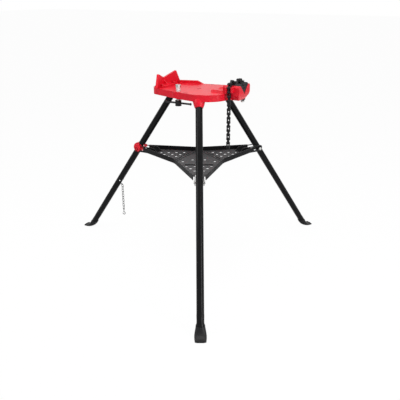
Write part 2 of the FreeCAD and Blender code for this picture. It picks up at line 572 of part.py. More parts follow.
for side, azimuth in LEGS:
    tube = primitive("Cylinder", "Tube_" + side, {"Radius": "Sizes.LegDia / 2"},
                     along(PIVOT, LEG_DOWN))
    tube.Height = tube_length
    tube_bore = primitive("Cylinder", "TubeBore_" + side, {
        "Radius": "Sizes.LegDia / 2 - Sizes.LegWall"},
        along(on_leg(size("LegPlugLength")), LEG_DOWN))
    tube_bore.Height = tube_length - size("LegPlugLength") - size("LegWall")
    leg_cutters = [tube_bore]
    if azimuth == REAR:
        leg_cutters.append(primitive("Cylinder", "EyeScrewHole", {
            "Radius": "Sizes.EyeStemRad", "Height": "Sizes.LegDia / 2"},
            along(on_leg((PIVOT.z - size("RetainerHeight")) / math.cos(splay)), UNDER_LEG)))
    knob = primitive("Sphere", "TubeEnd_" + side, {"Radius": "Sizes.LegDia / 2"},
                     Placement(PIVOT, Rotation()))
    pivot_bore = primitive("Cylinder", "PivotBore_" + side, {
        "Radius": "Sizes.PivotPinRad + Sizes.RunGap", "Height": "Sizes.LegDia * 2"},
        along(PIVOT - Vector(0, size("LegDia"), 0), Vector(0, 1, 0)))
    tray_bolt_bore = primitive("Cylinder", "TrayBoltBore_" + side, {
        "Radius": "Sizes.BoltRad", "Height": "Sizes.LegDia * 2"},
        along(on_leg(reach_to_tray) - Vector(0, size("LegDia"), 0), Vector(0, 1, 0)))
    pressed = foot_loft(0).cut(slab(-size("AnkleMid"), size("SoleThick")))
    foot_shape = feature("FootPress_" + side, pressed)
    solid_leg = fuse("LegSolid_" + side, [tube, knob, foot_shape])
    leg_tools = fuse("LegTools_" + side, leg_cutters + [pivot_bore, tray_bolt_bore])
    leg = cut("Leg_" + side, solid_leg, leg_tools)
    leg.Placement = turned(azimuth)
    keep(leg, "leg_tube_" + side)

    coat = foot_loft(size("VinylWall")).common(slab(0, size("VinylTop"))).cut(pressed)
    keep(feature("Coat_" + side, coat, turned(azimuth)), "vinyl_foot_" + side)

# ---------------------------------------------------------------- tray
# Each leaf is drawn in the radial plane at azimuth 0: u runs outwards from the axis of its
# hinge and v upwards from it.
hinge_r, hinge_z = size("HingeRadius"), size("TrayHeight")
sheet_high = size("SheetRise")
sheet_low = sheet_high - size("SheetThick")
lip_t, lip_high = size("LipThick"), size("LipRise")
knuckle_r = size("KnuckleRad")
bolt_u = on_leg(reach_to_tray).x - hinge_r
ear_in = size("ThroatHalf")
ear_out = ear_in + size("EarThick")
tip_u = bolt_u - size("TipSetback")
throat_u = bolt_u - size("ThroatLength")
root_u = size("SeamRadius") + size("SeamHalfGap") - hinge_r
root_half = size("LeafRootHalf")
side_slope = (root_half - ear_out) / (tip_u - root_u)
lip_y_width = lip_t * math.hypot(1, side_slope)
CENTRE_KNUCKLES = [(-62, -32), (32, 62)]
LEAF_KNUCKLES = [(-95, -62.5), (-31.5, 31.5), (62.5, 95)]
HOLE_ROWS = [(0.135, 4), (0.26, 3), (0.384, 2), (0.505, 1)]


def leaf_box(u_low, u_high, y_low, y_high, v_low, v_high):
    return Part.makeBox(u_high - u_low, y_high - y_low, v_high - v_low,
                        Vector(hinge_r + u_low, y_low, hinge_z + v_low))


def plan_prism(points, v_low, v_high, radii=None):
    """A prism with its outline in the leaf's (u, y), between two heights."""
    placed = [(hinge_r + u, y) for u, y in points]
    return prism(rounded(placed, radii or [0] * len(placed)), v_high - v_low,
                 Placement(UP * (hinge_z + v_low), Rotation()))


def spun(shape, azimuth):
    shape.rotate(Vector(0, 0, 0), UP, azimuth)
    return shape


def hinge_knuckle(low, high, webs):
    """A length of hinge barrel and the webs that join it to its sheet."""
    barrel = Part.makeCylinder(knuckle_r, high - low, Vector(hinge_r, low, hinge_z),
                               Vector(0, 1, 0))
    return barrel.fuse([leaf_box(u_low, u_high, low, high, v_low, v_high)
                        for u_low, u_high, v_low, v_high in webs])


def hinge_bore(radius):
    length = size("HingePinLength") + 2 * knuckle_r
    return Part.makeCylinder(radius, length, Vector(hinge_r, -length / 2, hinge_z),
                             Vector(0, 1, 0))


def sheet_hole(radius, y=0.0):
    return Part.makeCylinder(size("TrayHoleRad"), 2 * lip_high,
                             Vector(radius, y, hinge_z - lip_high), UP)


centre_in = size("SeamRadius") - size("SeamHalfGap")
corner_r = size("CornerRadius")
seam_half = (corner_r - centre_in * math.cos(math.radians(60))) / math.sin(math.radians(60))
corners = []
for azimuth in (NEAR, FAR, REAR):
    turn = Rotation(UP, azimuth)
    corners += [turn.multVec(Vector(centre_in, y, 0)) for y in (-seam_half, seam_half)]
short_half = (corners[2] - corners[1]).Length / 2
centre = prism(rounded([(p.x, p.y) for p in corners], [0] * 6), size("SheetThick"),
               Placement(UP * (hinge_z + sheet_low), Rotation()))
centre_web = size("CentreWeb")
centre_webs = [(-centre_web, 0, -0.9 * knuckle_r, size("CentreWebRise")),
               (-centre_web, -centre_web + 4, -0.9 * knuckle_r, sheet_low + 0.5)]
centre_cutters = []
for _, azimuth in LEGS:
    corner_lip = leaf_box(corner_r - lip_t - hinge_r, corner_r - hinge_r, -short_half, short_half,
                          sheet_low, lip_high)
    centre = centre.fuse(spun(corner_lip, azimuth + 180))
    for low, high in CENTRE_KNUCKLES:
        centre = centre.fuse(spun(hinge_knuckle(low, high, centre_webs), azimuth))
    centre_cutters += [spun(sheet_hole(radius), azimuth + 180)
                       for radius in (size("CentreHoleNear"), size("CentreHoleFar"))]
    centre_cutters.append(spun(hinge_bore(size("HingePinRad")), azimuth))
centre = centre.cut(Part.makeCompound(centre_cutters)).removeSplitter()
keep(feature("TrayCentre", centre), "tray_centre")

hinge_pins = doc.addObject("Part::Compound", "HingePins")
pin_objects = []
for side, azimuth in LEGS:
    pin = primitive("Cylinder", "HingePin_" + side, {
        "Radius": "Sizes.HingePinRad", "Height": "Sizes.HingePinLength"})
    pin.Placement = turned(azimuth).multiply(
        along(Vector(hinge_r, -size("HingePinLength") / 2, hinge_z), Vector(0, 1, 0)))
    pin_objects.append(pin)
hinge_pins.Links = pin_objects
keep(hinge_pins, "tray_hinge_pins")

# The folded tray: the legs hang straight down and the leaves hang from the raised centre.
# The rise is the one that draws each bolt in by FoldDraw along its leaf's slot.
fold_leaf = math.radians(size("LeafFold"))
folded_dz = ((PIVOT.x - hinge_r) * math.cos(fold_leaf) - bolt_u + size("FoldDraw")) / math.sin(
    fold_leaf)
fold_rise = PIVOT.z - reach_to_tray - hinge_z - folded_dz


def bolt_in_leaf(share):
    """Where the leg's bolt is, seen from the leaf, at a share of the whole fold."""
    leg_angle, leaf_angle = splay * (1 - share), fold_leaf * share
    dr = PIVOT.x + reach_to_tray * math.sin(leg_angle) - hinge_r
    dz = PIVOT.z - reach_to_tray * math.cos(leg_angle) - hinge_z - fold_rise * share
    return Vector(dr * math.cos(leaf_angle) - dz * math.sin(leaf_angle), 0,
                  dr * math.sin(leaf_angle) + dz * math.cos(leaf_angle))


# The slot in the ears: the bolt's path, boxed in by lines on eight sides and widened all round.
PATH_STEPS = 40
path = [bolt_in_leaf(step / PATH_STEPS) for step in range(PATH_STEPS + 1)]
facing = [(math.cos(math.radians(a)), math.sin(math.radians(a))) for a in range(0, 360, 45)]
slot_corners = []
for (nx, nz), (mx, mz) in zip(facing, facing[1:] + facing[:1]):
    reach_n = max(p.x * nx + p.z * nz for p in path)
    reach_m = max(p.x * mx + p.z * mz for p in path)
    cross = nx * mz - nz * mx
    slot_corners.append(((reach_n * mz - reach_m * nz) / cross,
                         (reach_m * nx - reach_n * mx) / cross))
slot_rad = size("BoltRad") + size("SlotGap")
slot_wide_y = 2 * ear_out + 2
bolt_slot = prism(rounded(inset(slot_corners, -slot_rad), [0.8 * slot_rad] * 8), slot_wide_y,
                  Placement(Vector(hinge_r, slot_wide_y / 2, hinge_z),
                            Rotation(Vector(1, 0, 0), 90)))
# Beside each ear the sheet is open, so that the bolt's head and the clamp pass as it folds.
channel_u = min(p.x for p in path) - size("ChannelRun")
channel_out = size("ClampHalfWidth") + size("ChannelGap")
lip_end_half = channel_out + lip_y_width
lip_end_u = root_u + (root_half - lip_end_half) / side_slope


def leaf_half(u):
    """Half the leaf's width at a distance u from its hinge."""
    return root_half - (u - root_u) * side_slope


strip_u, strip_t = size("StripReach"), size("StripThick")
ear_start, ear_end = throat_u - size("EarRoot"), bolt_u + size("EarEnd")
ear_outline = [(ear_start, sheet_low), (ear_start + 10, -size("EarLow")),
               (ear_end, -size("EarLow")), (ear_end, size("EarHigh")),
               (ear_start + 24, size("EarHigh")), (ear_start, sheet_high)]
leaf_webs = [(-size("KnuckleWeb"), size("KnuckleWeb"), 0, sheet_low + 0.5)]
for side, azimuth in LEGS:
    throat_round = size("ThroatRound")
    half_plan = [(root_u, root_half), (lip_end_u, lip_end_half), (lip_end_u, channel_out),
                 (channel_u, channel_out), (channel_u, ear_in), (throat_u, ear_in)]
    half_rounds = [0, 0, 0, size("ChannelGap"), 0, throat_round]
    leaf = plan_prism([(u, -y) for u, y in half_plan] + half_plan[::-1], sheet_low, sheet_high,
                      half_rounds + half_rounds[::-1])
    for low, high in LEAF_KNUCKLES:
        leaf = leaf.fuse(hinge_knuckle(low, high, leaf_webs))
    strip_in, strip_out = leaf_half(root_u) - lip_y_width - 1, leaf_half(strip_u) - lip_y_width - 1
    leaf = leaf.fuse(plan_prism([(root_u, -strip_in), (strip_u, -strip_out),
                                 (strip_u, strip_out), (root_u, strip_in)],
                                sheet_high, sheet_high + strip_t))
    pieces = []
    for sign in (-1, 1):
        side_lip = plan_prism([(root_u, -root_half), (lip_end_u, -lip_end_half),
                               (lip_end_u, -channel_out), (root_u, -root_half + lip_y_width)],
                              sheet_low, lip_high)
        ear = prism(rounded(ear_outline, [0, 4, 10, 10, 8, 0]), size("EarThick"),
                    Placement(Vector(hinge_r, -ear_in, hinge_z), Rotation(Vector(1, 0, 0), 90)))
        raised = leaf_box(size("PadStart"), size("PadStart") + size("PadWidth"),
                          -size("PadOuter"), -size("PadInner"), sheet_high,
                          sheet_high + size("PadRise"))
        for piece in (side_lip, ear, raised):
            pieces.append(piece.mirror(Vector(0, 0, 0), Vector(0, 1, 0)) if sign > 0 else piece)
    leaf = leaf.fuse(pieces)
    slot_l, slot_w = size("HandSlotLength") / 2, size("HandSlotWidth") / 2
    slot_u = size("HandSlotReach")
    cutters = [hinge_bore(size("HingePinRad") + size("RunGap")), bolt_slot,
               plan_prism([(slot_u - slot_w, -slot_l), (slot_u + slot_w, -slot_l),
                           (slot_u + slot_w, slot_l), (slot_u - slot_w, slot_l)],
                          sheet_low - 1, sheet_high + size("PadRise"), [slot_w - 0.1] * 4)]
    for share, count in HOLE_ROWS:
        row_u = share * bolt_u
        for column in range(count):
            y = (column - (count - 1) / 2) * size("TrayHolePitch")
            if abs(y) < leaf_half(row_u) - size("TrayHoleMargin"):
                cutters.append(sheet_hole(hinge_r + row_u, y))
    leaf = leaf.cut(Part.makeCompound(cutters)).removeSplitter()
    keep(feature("Leaf_" + side, leaf, turned(azimuth)), "tray_leaf_" + side)

    # The bolt through the leg and both ears, with its washers and nut, on the leg's side.
    bolt_centre = on_leg(reach_to_tray)
    washer_t = size("WasherThick")
    washer_y = ear_out + size("WasherGap")
    bolt_half = washer_y + washer_t
    shank = Part.makeCylinder(size("BoltRad"), 2 * bolt_half + size("BoltHeadHeight") + 0.5,
                              bolt_centre - Vector(0, bolt_half, 0), Vector(0, 1, 0))
    hexagon = [(size("BoltHeadRad") * math.cos(math.radians(a)),
                size("BoltHeadRad") * math.sin(math.radians(a))) for a in range(0, 360, 60)]
    bolt_ends = []
    for sign in (-1, 1):
        bolt_end = prism(rounded(hexagon, [0] * 6), size("BoltHeadHeight"))
        bolt_end.Placement = along(bolt_centre + Vector(0, sign * bolt_half, 0),
                                   Vector(0, sign, 0))
        washer = Part.makeCylinder(size("WasherRad"), washer_t, bolt_centre + Vector(
            0, sign * washer_y, 0), Vector(0, sign, 0))
        bolt_ends += [bolt_end, washer]
    bolt_shape = shank.fuse(bolt_ends).removeSplitter()
    keep(feature("TrayBolt_" + side, bolt_shape, turned(azimuth)), "tray_bolt_" + side)

# ---------------------------------------------------------------- clamp on the rear leg
# A rounded clamp across the leg above the tray's bolt.  Its two slots let the leaf's ears in
# and past the leg as the tray folds, and a bridge over their ends joins its three parts.
clamp_half, clamp_r = size("ClampHalfWidth"), size("ClampRad")
clamp_at = on_leg(reach_to_tray - size("ClampRise") / math.cos(splay)) + Vector(
    size("ClampOut"), 0, 0)
barrel = Part.makeCylinder(clamp_r, 2 * clamp_half, clamp_at - Vector(0, clamp_half, 0),
                           Vector(0, 1, 0))
round_edges = [edge for edge in barrel.Edges if isinstance(edge.Curve, Part.Circle)]
barrel = barrel.makeFillet(size("ClampRound"), round_edges)
lug_in = bolt_centre.x - size("ClampLugReach")
lug_low = bolt_centre.z + size("ClampLugLow")
lug_h, lug_hf = size("ClampLugHeight"), size("ClampLugHalf")
clamp_lug = prism(rounded([(lug_in, lug_low), (bolt_centre.x, lug_low),
                           (bolt_centre.x, lug_low + lug_h), (lug_in, lug_low + lug_h)],
                          [lug_hf - 0.2, 0, 0, lug_hf - 0.2]), 2 * lug_hf,
                  Placement(Vector(0, lug_hf, 0), Rotation(Vector(1, 0, 0), 90)))
clamp_solid = feature("Clamp", barrel.fuse(clamp_lug))
clamp_bore = primitive("Cylinder", "ClampBore", {
    "Radius": "Sizes.LegDia / 2 + Sizes.ClampGap", "Height": "Sizes.ClampRad * 5"},
    along(on_leg(reach_to_tray - clamp_r * 2.5), LEG_DOWN))
clamp_bolt_hole = primitive("Cylinder", "ClampBoltHole", {
    "Radius": "Sizes.BoltRad + Sizes.ClampGap", "Height": "Sizes.ClampHalfWidth * 3"},
    along(bolt_centre - Vector(0, clamp_half * 1.5, 0), Vector(0, 1, 0)))
slot_in = ear_in - size("ClampSlotGap")
slot_out = ear_out + size("ClampSlotGap")
bridge = size("ClampBridge")
room = 3 * clamp_r
clamp_tools = [clamp_bore, clamp_bolt_hole]
for sign, name in ((-1, "Near"), (1, "Far")):
    slot_y = slot_in if sign > 0 else -slot_out
    low_slot = Part.makeBox(2 * room, slot_out - slot_in, room,
                            bolt_centre + Vector(-room, slot_y, bridge - room))
    high_slot = Part.makeBox(room + size("ClampBridgeStart"), slot_out - slot_in, room,
                             bolt_centre + Vector(-room, slot_y, bridge - 1))
    head_room = Part.makeCylinder(size("ClampHeadRoom"), clamp_half, bolt_centre + Vector(
        0, sign * (slot_out - 0.1), 0), Vector(0, sign, 0))
    clamp_tools.append(feature("ClampSlot" + name, low_slot.fuse([high_slot, head_room])))
clamp_cut = cut("ClampShaped", clamp_solid, fuse("ClampTools", clamp_tools))
clamp_cut.Placement = turned(REAR)
keep(clamp_cut, "rear_leg_collar")

# ---------------------------------------------------------------- ceiling brace
brace_top = deck_top + size("BraceRise")
hub_top = deck_top - size("BraceBossDepth") - size("BraceHubDrop")
hub_low = hub_top - size("BraceHubHeight")
shaft_low = hub_top - size("BraceHubGrip")
screw_shaft = primitive("Cylinder", "BraceShaft", {
    "Radius": "Sizes.BraceRad",
    "Height": "Sizes.BraceRise + Sizes.BraceBossDepth + Sizes.BraceHubDrop + Sizes.BraceHubGrip"},
    Placement(brace_at + UP * shaft_low, Rotation()))
keep(screw_shaft, "brace_screw")
cup_low = brace_top + size("BraceCupGap")
cup_shape = primitive("Cylinder", "BraceCup", {
    "Radius": "Sizes.BraceCupRad", "Height": "Sizes.BraceCupHeight"},
    Placement(brace_at + UP * cup_low, Rotation()))
cup_recess = primitive("Cylinder", "BraceCupRecess", {
    "Radius": "Sizes.BraceCupRad - Sizes.BraceCupWall", "Height": "Sizes.BraceCupHeight"},
    Placement(brace_at + UP * (cup_low + size("BraceCupFloor")), Rotation()))
keep(cut("BraceCupCut", cup_shape, cup_recess), "brace_cup")
hub = primitive("Cylinder", "BraceHubBody", {
    "Radius": "Sizes.BraceHubRad", "Height": "Sizes.BraceHubHeight"},
    Placement(brace_at + UP * hub_low, Rotation()))
hub_bar_hole = primitive("Cylinder", "BraceBarHole", {
    "Radius": "Sizes.BraceBarRad", "Height": "Sizes.BraceHubRad * 4"})
bar_z = hub_low + size("BraceHubHeight") / 2
hub_bar_hole.Placement = along(brace_at + Vector(-2 * size("BraceHubRad"), 0, bar_z),
                               Vector(1, 0, 0))
hub_screw_hole = primitive("Cylinder", "BraceHubBore", {
    "Radius": "Sizes.BraceRad", "Height": "Sizes.BraceHubGrip * 2"},
    Placement(brace_at + UP * shaft_low, Rotation()))
keep(cut("BraceHub", hub, fuse("BraceHubTools", [hub_bar_hole, hub_screw_hole])), "brace_hub")
bar = primitive("Cylinder", "BraceBarRod", {
    "Radius": "Sizes.BraceBarRad", "Height": "Sizes.BraceBarLength"})
bar.Placement = along(brace_at + Vector(-size("BraceBarLength") / 2, 0, bar_z), Vector(1, 0, 0))
keep(bar, "brace_bar")

# ---------------------------------------------------------------- chain tension screw
tension_at = Vector(chain_x, tension_y, 0)
lug_under = lug_top - size("LugThick")
eye_z = lug_top + size("EyeRise")
tension_low = lug_under - size("TensionHubHeight") - size("TensionTail")
shaft = Part.makeCylinder(size("TensionRad"), eye_z - size("EyeShaftDrop") - tension_low,
                          tension_at + UP * tension_low)
eye_half = size("InnerThick") / 2
eye_rad, travel = size("EyeRad"), size("TensionTravel")
eye_plate = prism(rounded([(-eye_rad, -size("EyeFoot")), (eye_rad, -size("EyeFoot")),
                           (eye_rad, eye_rad + travel), (-eye_rad, eye_rad + travel)],
                          [0, 0, eye_rad - 0.6, eye_rad - 0.6]), 2 * eye_half,
                  Placement(tension_at + Vector(-eye_half, 0, eye_z), ALONG_X))
eye_slot_rad = size("LinkPinRad") + size("RunGap")
eye_hole = prism(rounded([(-eye_slot_rad, -eye_slot_rad), (eye_slot_rad, -eye_slot_rad),
                          (eye_slot_rad, eye_slot_rad + travel),
                          (-eye_slot_rad, eye_slot_rad + travel)],
                         [eye_slot_rad - 0.1] * 4), 4 * eye_half,
                 Placement(tension_at + Vector(-2 * eye_half, 0, eye_z), ALONG_X))
keep(feature("TensionScrew", shaft.fuse(eye_plate).cut(eye_hole).removeSplitter()),
     "tension_screw")
tension_hub_low = lug_under - size("TensionHubGap") - size("TensionHubHeight")
tension_hub = primitive("Cylinder", "TensionHubBody", {
    "Radius": "Sizes.TensionHubRad", "Height": "Sizes.TensionHubHeight"},
    Placement(tension_at + UP * tension_hub_low, Rotation()))
tension_bore = primitive("Cylinder", "TensionHubBore", {
    "Radius": "Sizes.TensionRad + Sizes.RunGap", "Height": "Sizes.TensionHubHeight * 2"},
    Placement(tension_at + UP * (tension_hub_low - size("TensionTail") / 2), Rotation()))
keep(cut("TensionHub", tension_hub, tension_bore), "tension_nut")
bar_away = Vector(math.cos(math.radians(120)), math.sin(math.radians(120)), 0)
grip_start = size("TensionHubRad") - size("TensionBarSink")
grip_at = tension_at + UP * (tension_hub_low + size("TensionBarRise"))
grips = [Part.makeCylinder(size("TensionBarRad"), size("TensionBarLength") / 2 - grip_start,
                           grip_at + bar_away * (sign * grip_start), bar_away * sign)
         for sign in (-1, 1)]
hub_room = Part.makeCylinder(size("TensionHubRad"), 3 * size("TensionHubHeight"),
                             tension_at + UP * (tension_hub_low - size("TensionHubHeight")))
keep(feature("TensionGrips", Part.makeCompound([grip.cut(hub_room) for grip in grips])),
     "tension_grips")

# ---------------------------------------------------------------- vise chain
link_h, link_pitch = size("LinkHalfHeight"), size("LinkPitch")
lift = link_h + size("ChainLift")
jaw_in_z = jaw_vertex + jaw_top
crest_z = jaw_vertex + jaw_edge_z + lift + 1.5
hang_y = -block_w - link_h - size("TailGap")
valley_y = lift + 1
valley_z = jaw_in_z + valley_y * jaw_rise + (lift + 1) / math.cos(jaw_angle)
# The chain lies from the eye over the jaw's far edge, through the V, over its near edge and
# through the hook, and hangs down from there.
chain_path = [Vector(0, tension_y, eye_z), Vector(0, jaw_edge + 7, crest_z),
              Vector(0, jaw_edge - 6, crest_z - 1), Vector(0, valley_y, valley_z),
              Vector(0, -valley_y, valley_z), Vector(0, -jaw_edge + 6, crest_z - 1),
              Vector(0, -jaw_edge - 7, crest_z), Vector(0, hang_y, hook_high + 5),
              Vector(0, hang_y, deck_top - link_pitch * size("LinkCount"))]


def march(points, pitch, count):
    """Pin centres that follow the path, each a pitch from the last."""
    found = [points[0]]
    leg_index = 0
    while len(found) <= count and leg_index < len(points) - 1:
        here, target = found[-1], points[leg_index + 1]
        if (target - here).Length < pitch:
            leg_index += 1
            continue
        a = points[leg_index]
        direction = (target - a).normalize()
        offset = a - here
        b = offset.dot(direction)
        c = offset.dot(offset) - pitch * pitch
        t = -b + math.sqrt(max(b * b - c, 0))
        found.append(a + direction * t)
    return found


pins = march(chain_path, link_pitch, round(size("LinkCount")))


def stadium(start, end, thick, low_x, hole_rad):
    """One chain plate between two pin centres, standing in the YZ plane."""
    span = end - start
    disc_a = Part.makeCylinder(link_h, thick, start + Vector(low_x, 0, 0), Vector(1, 0, 0))
    disc_b = Part.makeCylinder(link_h, thick, end + Vector(low_x, 0, 0), Vector(1, 0, 0))
    web = Part.makeBox(thick, span.Length, 1.5 * link_h, Vector(0, 0, -0.75 * link_h))
    web.Placement = Placement(start + Vector(low_x, 0, 0), Rotation(
        Vector(1, 0, 0), math.degrees(math.atan2(span.z, span.y)))).multiply(web.Placement)
    plate_shape = disc_a.fuse([disc_b, web])
    if hole_rad:
        for centre_point in (start, end):
            plate_shape = plate_shape.cut(Part.makeCylinder(
                hole_rad, thick + 2, centre_point + Vector(low_x - 1, 0, 0), Vector(1, 0, 0)))
    return plate_shape


def chain_link(index):
    """Even links are the outer ones, two plates on two pins; odd links are the inner blocks."""
    start, end = pins[index] + Vector(chain_x, 0, 0), pins[index + 1] + Vector(chain_x, 0, 0)
    inner_half = size("InnerThick") / 2
    if index % 2:
        return stadium(start, end, 2 * inner_half, -inner_half,
                       size("LinkPinRad") + size("RunGap"))
    plates = [stadium(start, end, size("PlateThick"), low, 0)
              for low in (-outer_half, inner_half + size("PlateGap"))]
    rods = [Part.makeCylinder(size("LinkPinRad"), 2 * pin_half, at + Vector(-pin_half, 0, 0),
                              Vector(1, 0, 0)) for at in (start, end)]
    return plates[0].fuse([plates[1]] + rods).removeSplitter()


over_jaw_links = next(i for i, p in enumerate(pins) if abs(p.y - hang_y) < 0.5)
keep(feature("ChainOverJaw", Part.makeCompound(
    [chain_link(i) for i in range(over_jaw_links)])), "vise_chain_over_jaw")
TAIL_GROUPS = 4
remaining = list(range(over_jaw_links, len(pins) - 1))
per_group = math.ceil(len(remaining) / TAIL_GROUPS)
for group in range(TAIL_GROUPS):
    members = remaining[group * per_group:(group + 1) * per_group]
    keep(feature("ChainTail%d" % (group + 1), Part.makeCompound(
        [chain_link(i) for i in members])), "vise_chain_tail_%d" % (group + 1))
    top_pin = pins[members[0]]
    print("tail %d: %d links from (%.3f, %.3f) down to %.2f" % (
        group + 1, len(members), top_pin.y, top_pin.z, pins[members[-1] + 1].z))

# ---------------------------------------------------------------- retaining chain
wire = size("RingWire")
ring_l, ring_w = size("RingLength"), size("RingWidth")
loop_mean = size("EyeLoopRad")
leg_at_retainer = on_leg((PIVOT.z - size("RetainerHeight")) / math.cos(splay))
stem_start, stem_end = leg_rad - size("LegWall"), leg_rad + size("EyeStemOut")
eye_stem = Part.makeCylinder(size("EyeStemRad"), stem_end - stem_start,
                             leg_at_retainer + UNDER_LEG * stem_start, UNDER_LEG)
loop_centre = leg_at_retainer + UNDER_LEG * (stem_end + loop_mean)
hang_at = loop_centre + UNDER_LEG * loop_mean


def flat_ring(top, sideways):
    """One oval wire link hanging from a point, flat across X or across Y."""
    straight = ring_l - ring_w
    mean = (ring_w - wire) / 2
    centre_high = Vector(0, 0, -(wire / 2 + mean))
    centre_low = centre_high + Vector(0, 0, -straight)
    bends = [Part.makeTorus(mean, wire / 2, at, Vector(1, 0, 0))
             for at in (centre_high, centre_low)]
    half_high = Part.makeBox(ring_l, ring_l, ring_l, Vector(
        -ring_l / 2, -ring_l / 2, centre_high.z))
    half_low = Part.makeBox(ring_l, ring_l, ring_l, Vector(
        -ring_l / 2, -ring_l / 2, centre_low.z - ring_l))
    limbs = [Part.makeCylinder(wire / 2, straight, centre_low + Vector(0, sign * mean, 0), UP)
             for sign in (-1, 1)]
    ring = bends[0].common(half_high).fuse([bends[1].common(half_low)] + limbs)
    if sideways:
        ring.rotate(Vector(0, 0, 0), UP, 90)
    ring.translate(top)
    return ring


eye_shape = eye_stem.fuse(Part.makeTorus(loop_mean, wire / 2, loop_centre, LEG_DOWN))
first_top = hang_at + UP * (1.5 * wire + size("RingGap") / 2)
ring_step = ring_l - 2 * wire - size("RingGap")
ring_count = round(size("RetainerLinks"))
rings = [flat_ring(first_top - UP * (i * ring_step), i % 2 == 0) for i in range(ring_count)]
hook_top = first_top - UP * (ring_count * ring_step)
hook_mean, bow_rad = size("HookEyeRad"), size("HookBowRad")
hook_eye = Part.makeTorus(hook_mean, wire / 2, hook_top - UP * (hook_mean + wire / 2),
                          Vector(0, 1, 0) if ring_count % 2 == 0 else Vector(1, 0, 0))
bow_centre = hook_top - UP * size("HookDrop")
mouth = Part.makeBox(2 * bow_rad, 2 * bow_rad, size("HookMouth"),
                     bow_centre + Vector(1.5, -bow_rad, 0))
bow = Part.makeTorus(bow_rad, size("HookWireRad"), bow_centre, Vector(0, 1, 0)).cut(mouth)
hook_shank = Part.makeCylinder(size("HookWireRad") + 0.1, size("HookShank"),
                               bow_centre + UP * (bow_rad - 0.5), UP)
LEG_SIDE = turned(REAR)
keep(feature("RetainerEye", eye_shape, LEG_SIDE), "retainer_eye")
keep(feature("RetainerChain", Part.makeCompound(rings), LEG_SIDE), "retainer_chain")
keep(feature("RetainerHook", hook_eye.fuse([bow, hook_shank]), LEG_SIDE), "retainer_hook")
print("retainer hangs from (%.3f, %.3f)" % (hang_at.x, hang_at.z))
print("the tray rises %.4f and its bolts are at u %.3f" % (fold_rise, bolt_u))

# ---------------------------------------------------------------- checks and export
doc.recompute()
for obj in doc.Objects:
    if "Invalid" in obj.State or "Error" in obj.State:
        raise RuntimeError("%s failed to build: %s" % (obj.Name, obj.State))
for obj in parts:
    if obj.Shape.isNull() or not obj.Shape.isValid():
        raise RuntimeError("%s has no valid shape" % obj.Label)
os.makedirs("parts", exist_ok=True)
for obj in parts:
    obj.Shape.exportStep("parts/%s.step" % obj.Label)
    print("%-22s solids %2d volume %.0f" % (obj.Label, len(obj.Shape.Solids), obj.Shape.Volume))
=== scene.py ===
import bpy
import bmesh
import json
import math
from mathutils import Matrix, Vector


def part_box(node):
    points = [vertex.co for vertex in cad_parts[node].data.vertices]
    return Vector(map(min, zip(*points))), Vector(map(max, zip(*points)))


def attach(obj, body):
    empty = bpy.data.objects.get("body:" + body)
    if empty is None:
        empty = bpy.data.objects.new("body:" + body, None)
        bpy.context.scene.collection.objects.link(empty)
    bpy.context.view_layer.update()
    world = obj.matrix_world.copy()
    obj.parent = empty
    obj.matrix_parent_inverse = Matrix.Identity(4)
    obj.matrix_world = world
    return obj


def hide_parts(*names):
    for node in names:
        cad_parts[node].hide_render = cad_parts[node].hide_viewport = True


# A folding tripod that carries a chain vise for pipe.  Metres, +Z up, +X towards the jaw, with
# the origin on the floor at the tripod's axis.
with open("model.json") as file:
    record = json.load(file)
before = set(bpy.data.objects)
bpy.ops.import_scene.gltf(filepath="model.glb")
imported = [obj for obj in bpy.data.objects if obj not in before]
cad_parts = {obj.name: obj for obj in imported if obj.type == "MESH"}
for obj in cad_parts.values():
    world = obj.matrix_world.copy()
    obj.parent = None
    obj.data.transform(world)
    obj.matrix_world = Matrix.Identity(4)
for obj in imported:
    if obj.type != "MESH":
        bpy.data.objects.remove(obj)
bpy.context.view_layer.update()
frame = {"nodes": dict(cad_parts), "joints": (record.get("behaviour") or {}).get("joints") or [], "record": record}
NODES = frame["nodes"]
MM = 0.001
LEGS = {"rear": math.pi, "near": -math.pi / 3, "far": math.pi / 3}    # each leg's azimuth
JOINT_PLACES = {joint["name"]: joint.get("pos_m") for joint in frame["joints"]}
# The rear leg and the rear leaf point along -X, so their joints' x gives the distance out.
PIVOT_OUT = -JOINT_PLACES["leg_rear_fold"][0]
PIVOT_HEIGHT = JOINT_PLACES["leg_rear_fold"][2]
LEAF_HINGE_OUT = -JOINT_PLACES["leaf_rear_fold"][0]


# ------------------------------------------------------------------ camera and lamps
def set_camera():
    """A normal lens in front of the near leg, looking down on the deck."""
    azimuth, pitch = math.radians(29.51), math.radians(21.675)
    aim_right = math.radians(0.139)
    distance, height = 2.6007, 1.3512
    focal_mm, sensor_mm, far_clip = 47.55, 36.0, 60.0
    data = bpy.data.cameras.new("studio_camera")
    data.lens = focal_mm
    data.sensor_width = sensor_mm
    data.clip_end = far_clip
    camera = bpy.data.objects.new("studio_camera", data)
    camera.location = (distance * math.sin(azimuth), -distance * math.cos(azimuth), height)
    camera.rotation_euler = (math.pi / 2 - pitch, 0.0, azimuth - aim_right)
    bpy.context.scene.collection.objects.link(camera)
    bpy.context.scene.camera = camera


def area_lamp(name, place, target, width, depth, watts):
    """A rectangular lamp at a place, turned towards its target."""
    data = bpy.data.lights.new(name, "AREA")
    data.shape = "RECTANGLE"
    data.size, data.size_y = width, depth
    data.energy = watts
    lamp = bpy.data.objects.new(name, data)
    lamp.location = place
    direction = Vector(target) - Vector(place)
    lamp.rotation_euler = direction.to_track_quat("-Z", "Y").to_euler()
    bpy.context.scene.collection.objects.link(lamp)


# ------------------------------------------------------------------ node helpers
def feed(tree, socket, value):
    """Links a socket from another one, or gives it a number or a colour of its own."""
    if isinstance(value, bpy.types.NodeSocket):
        tree.links.new(value, socket)
    else:
        socket.default_value = value


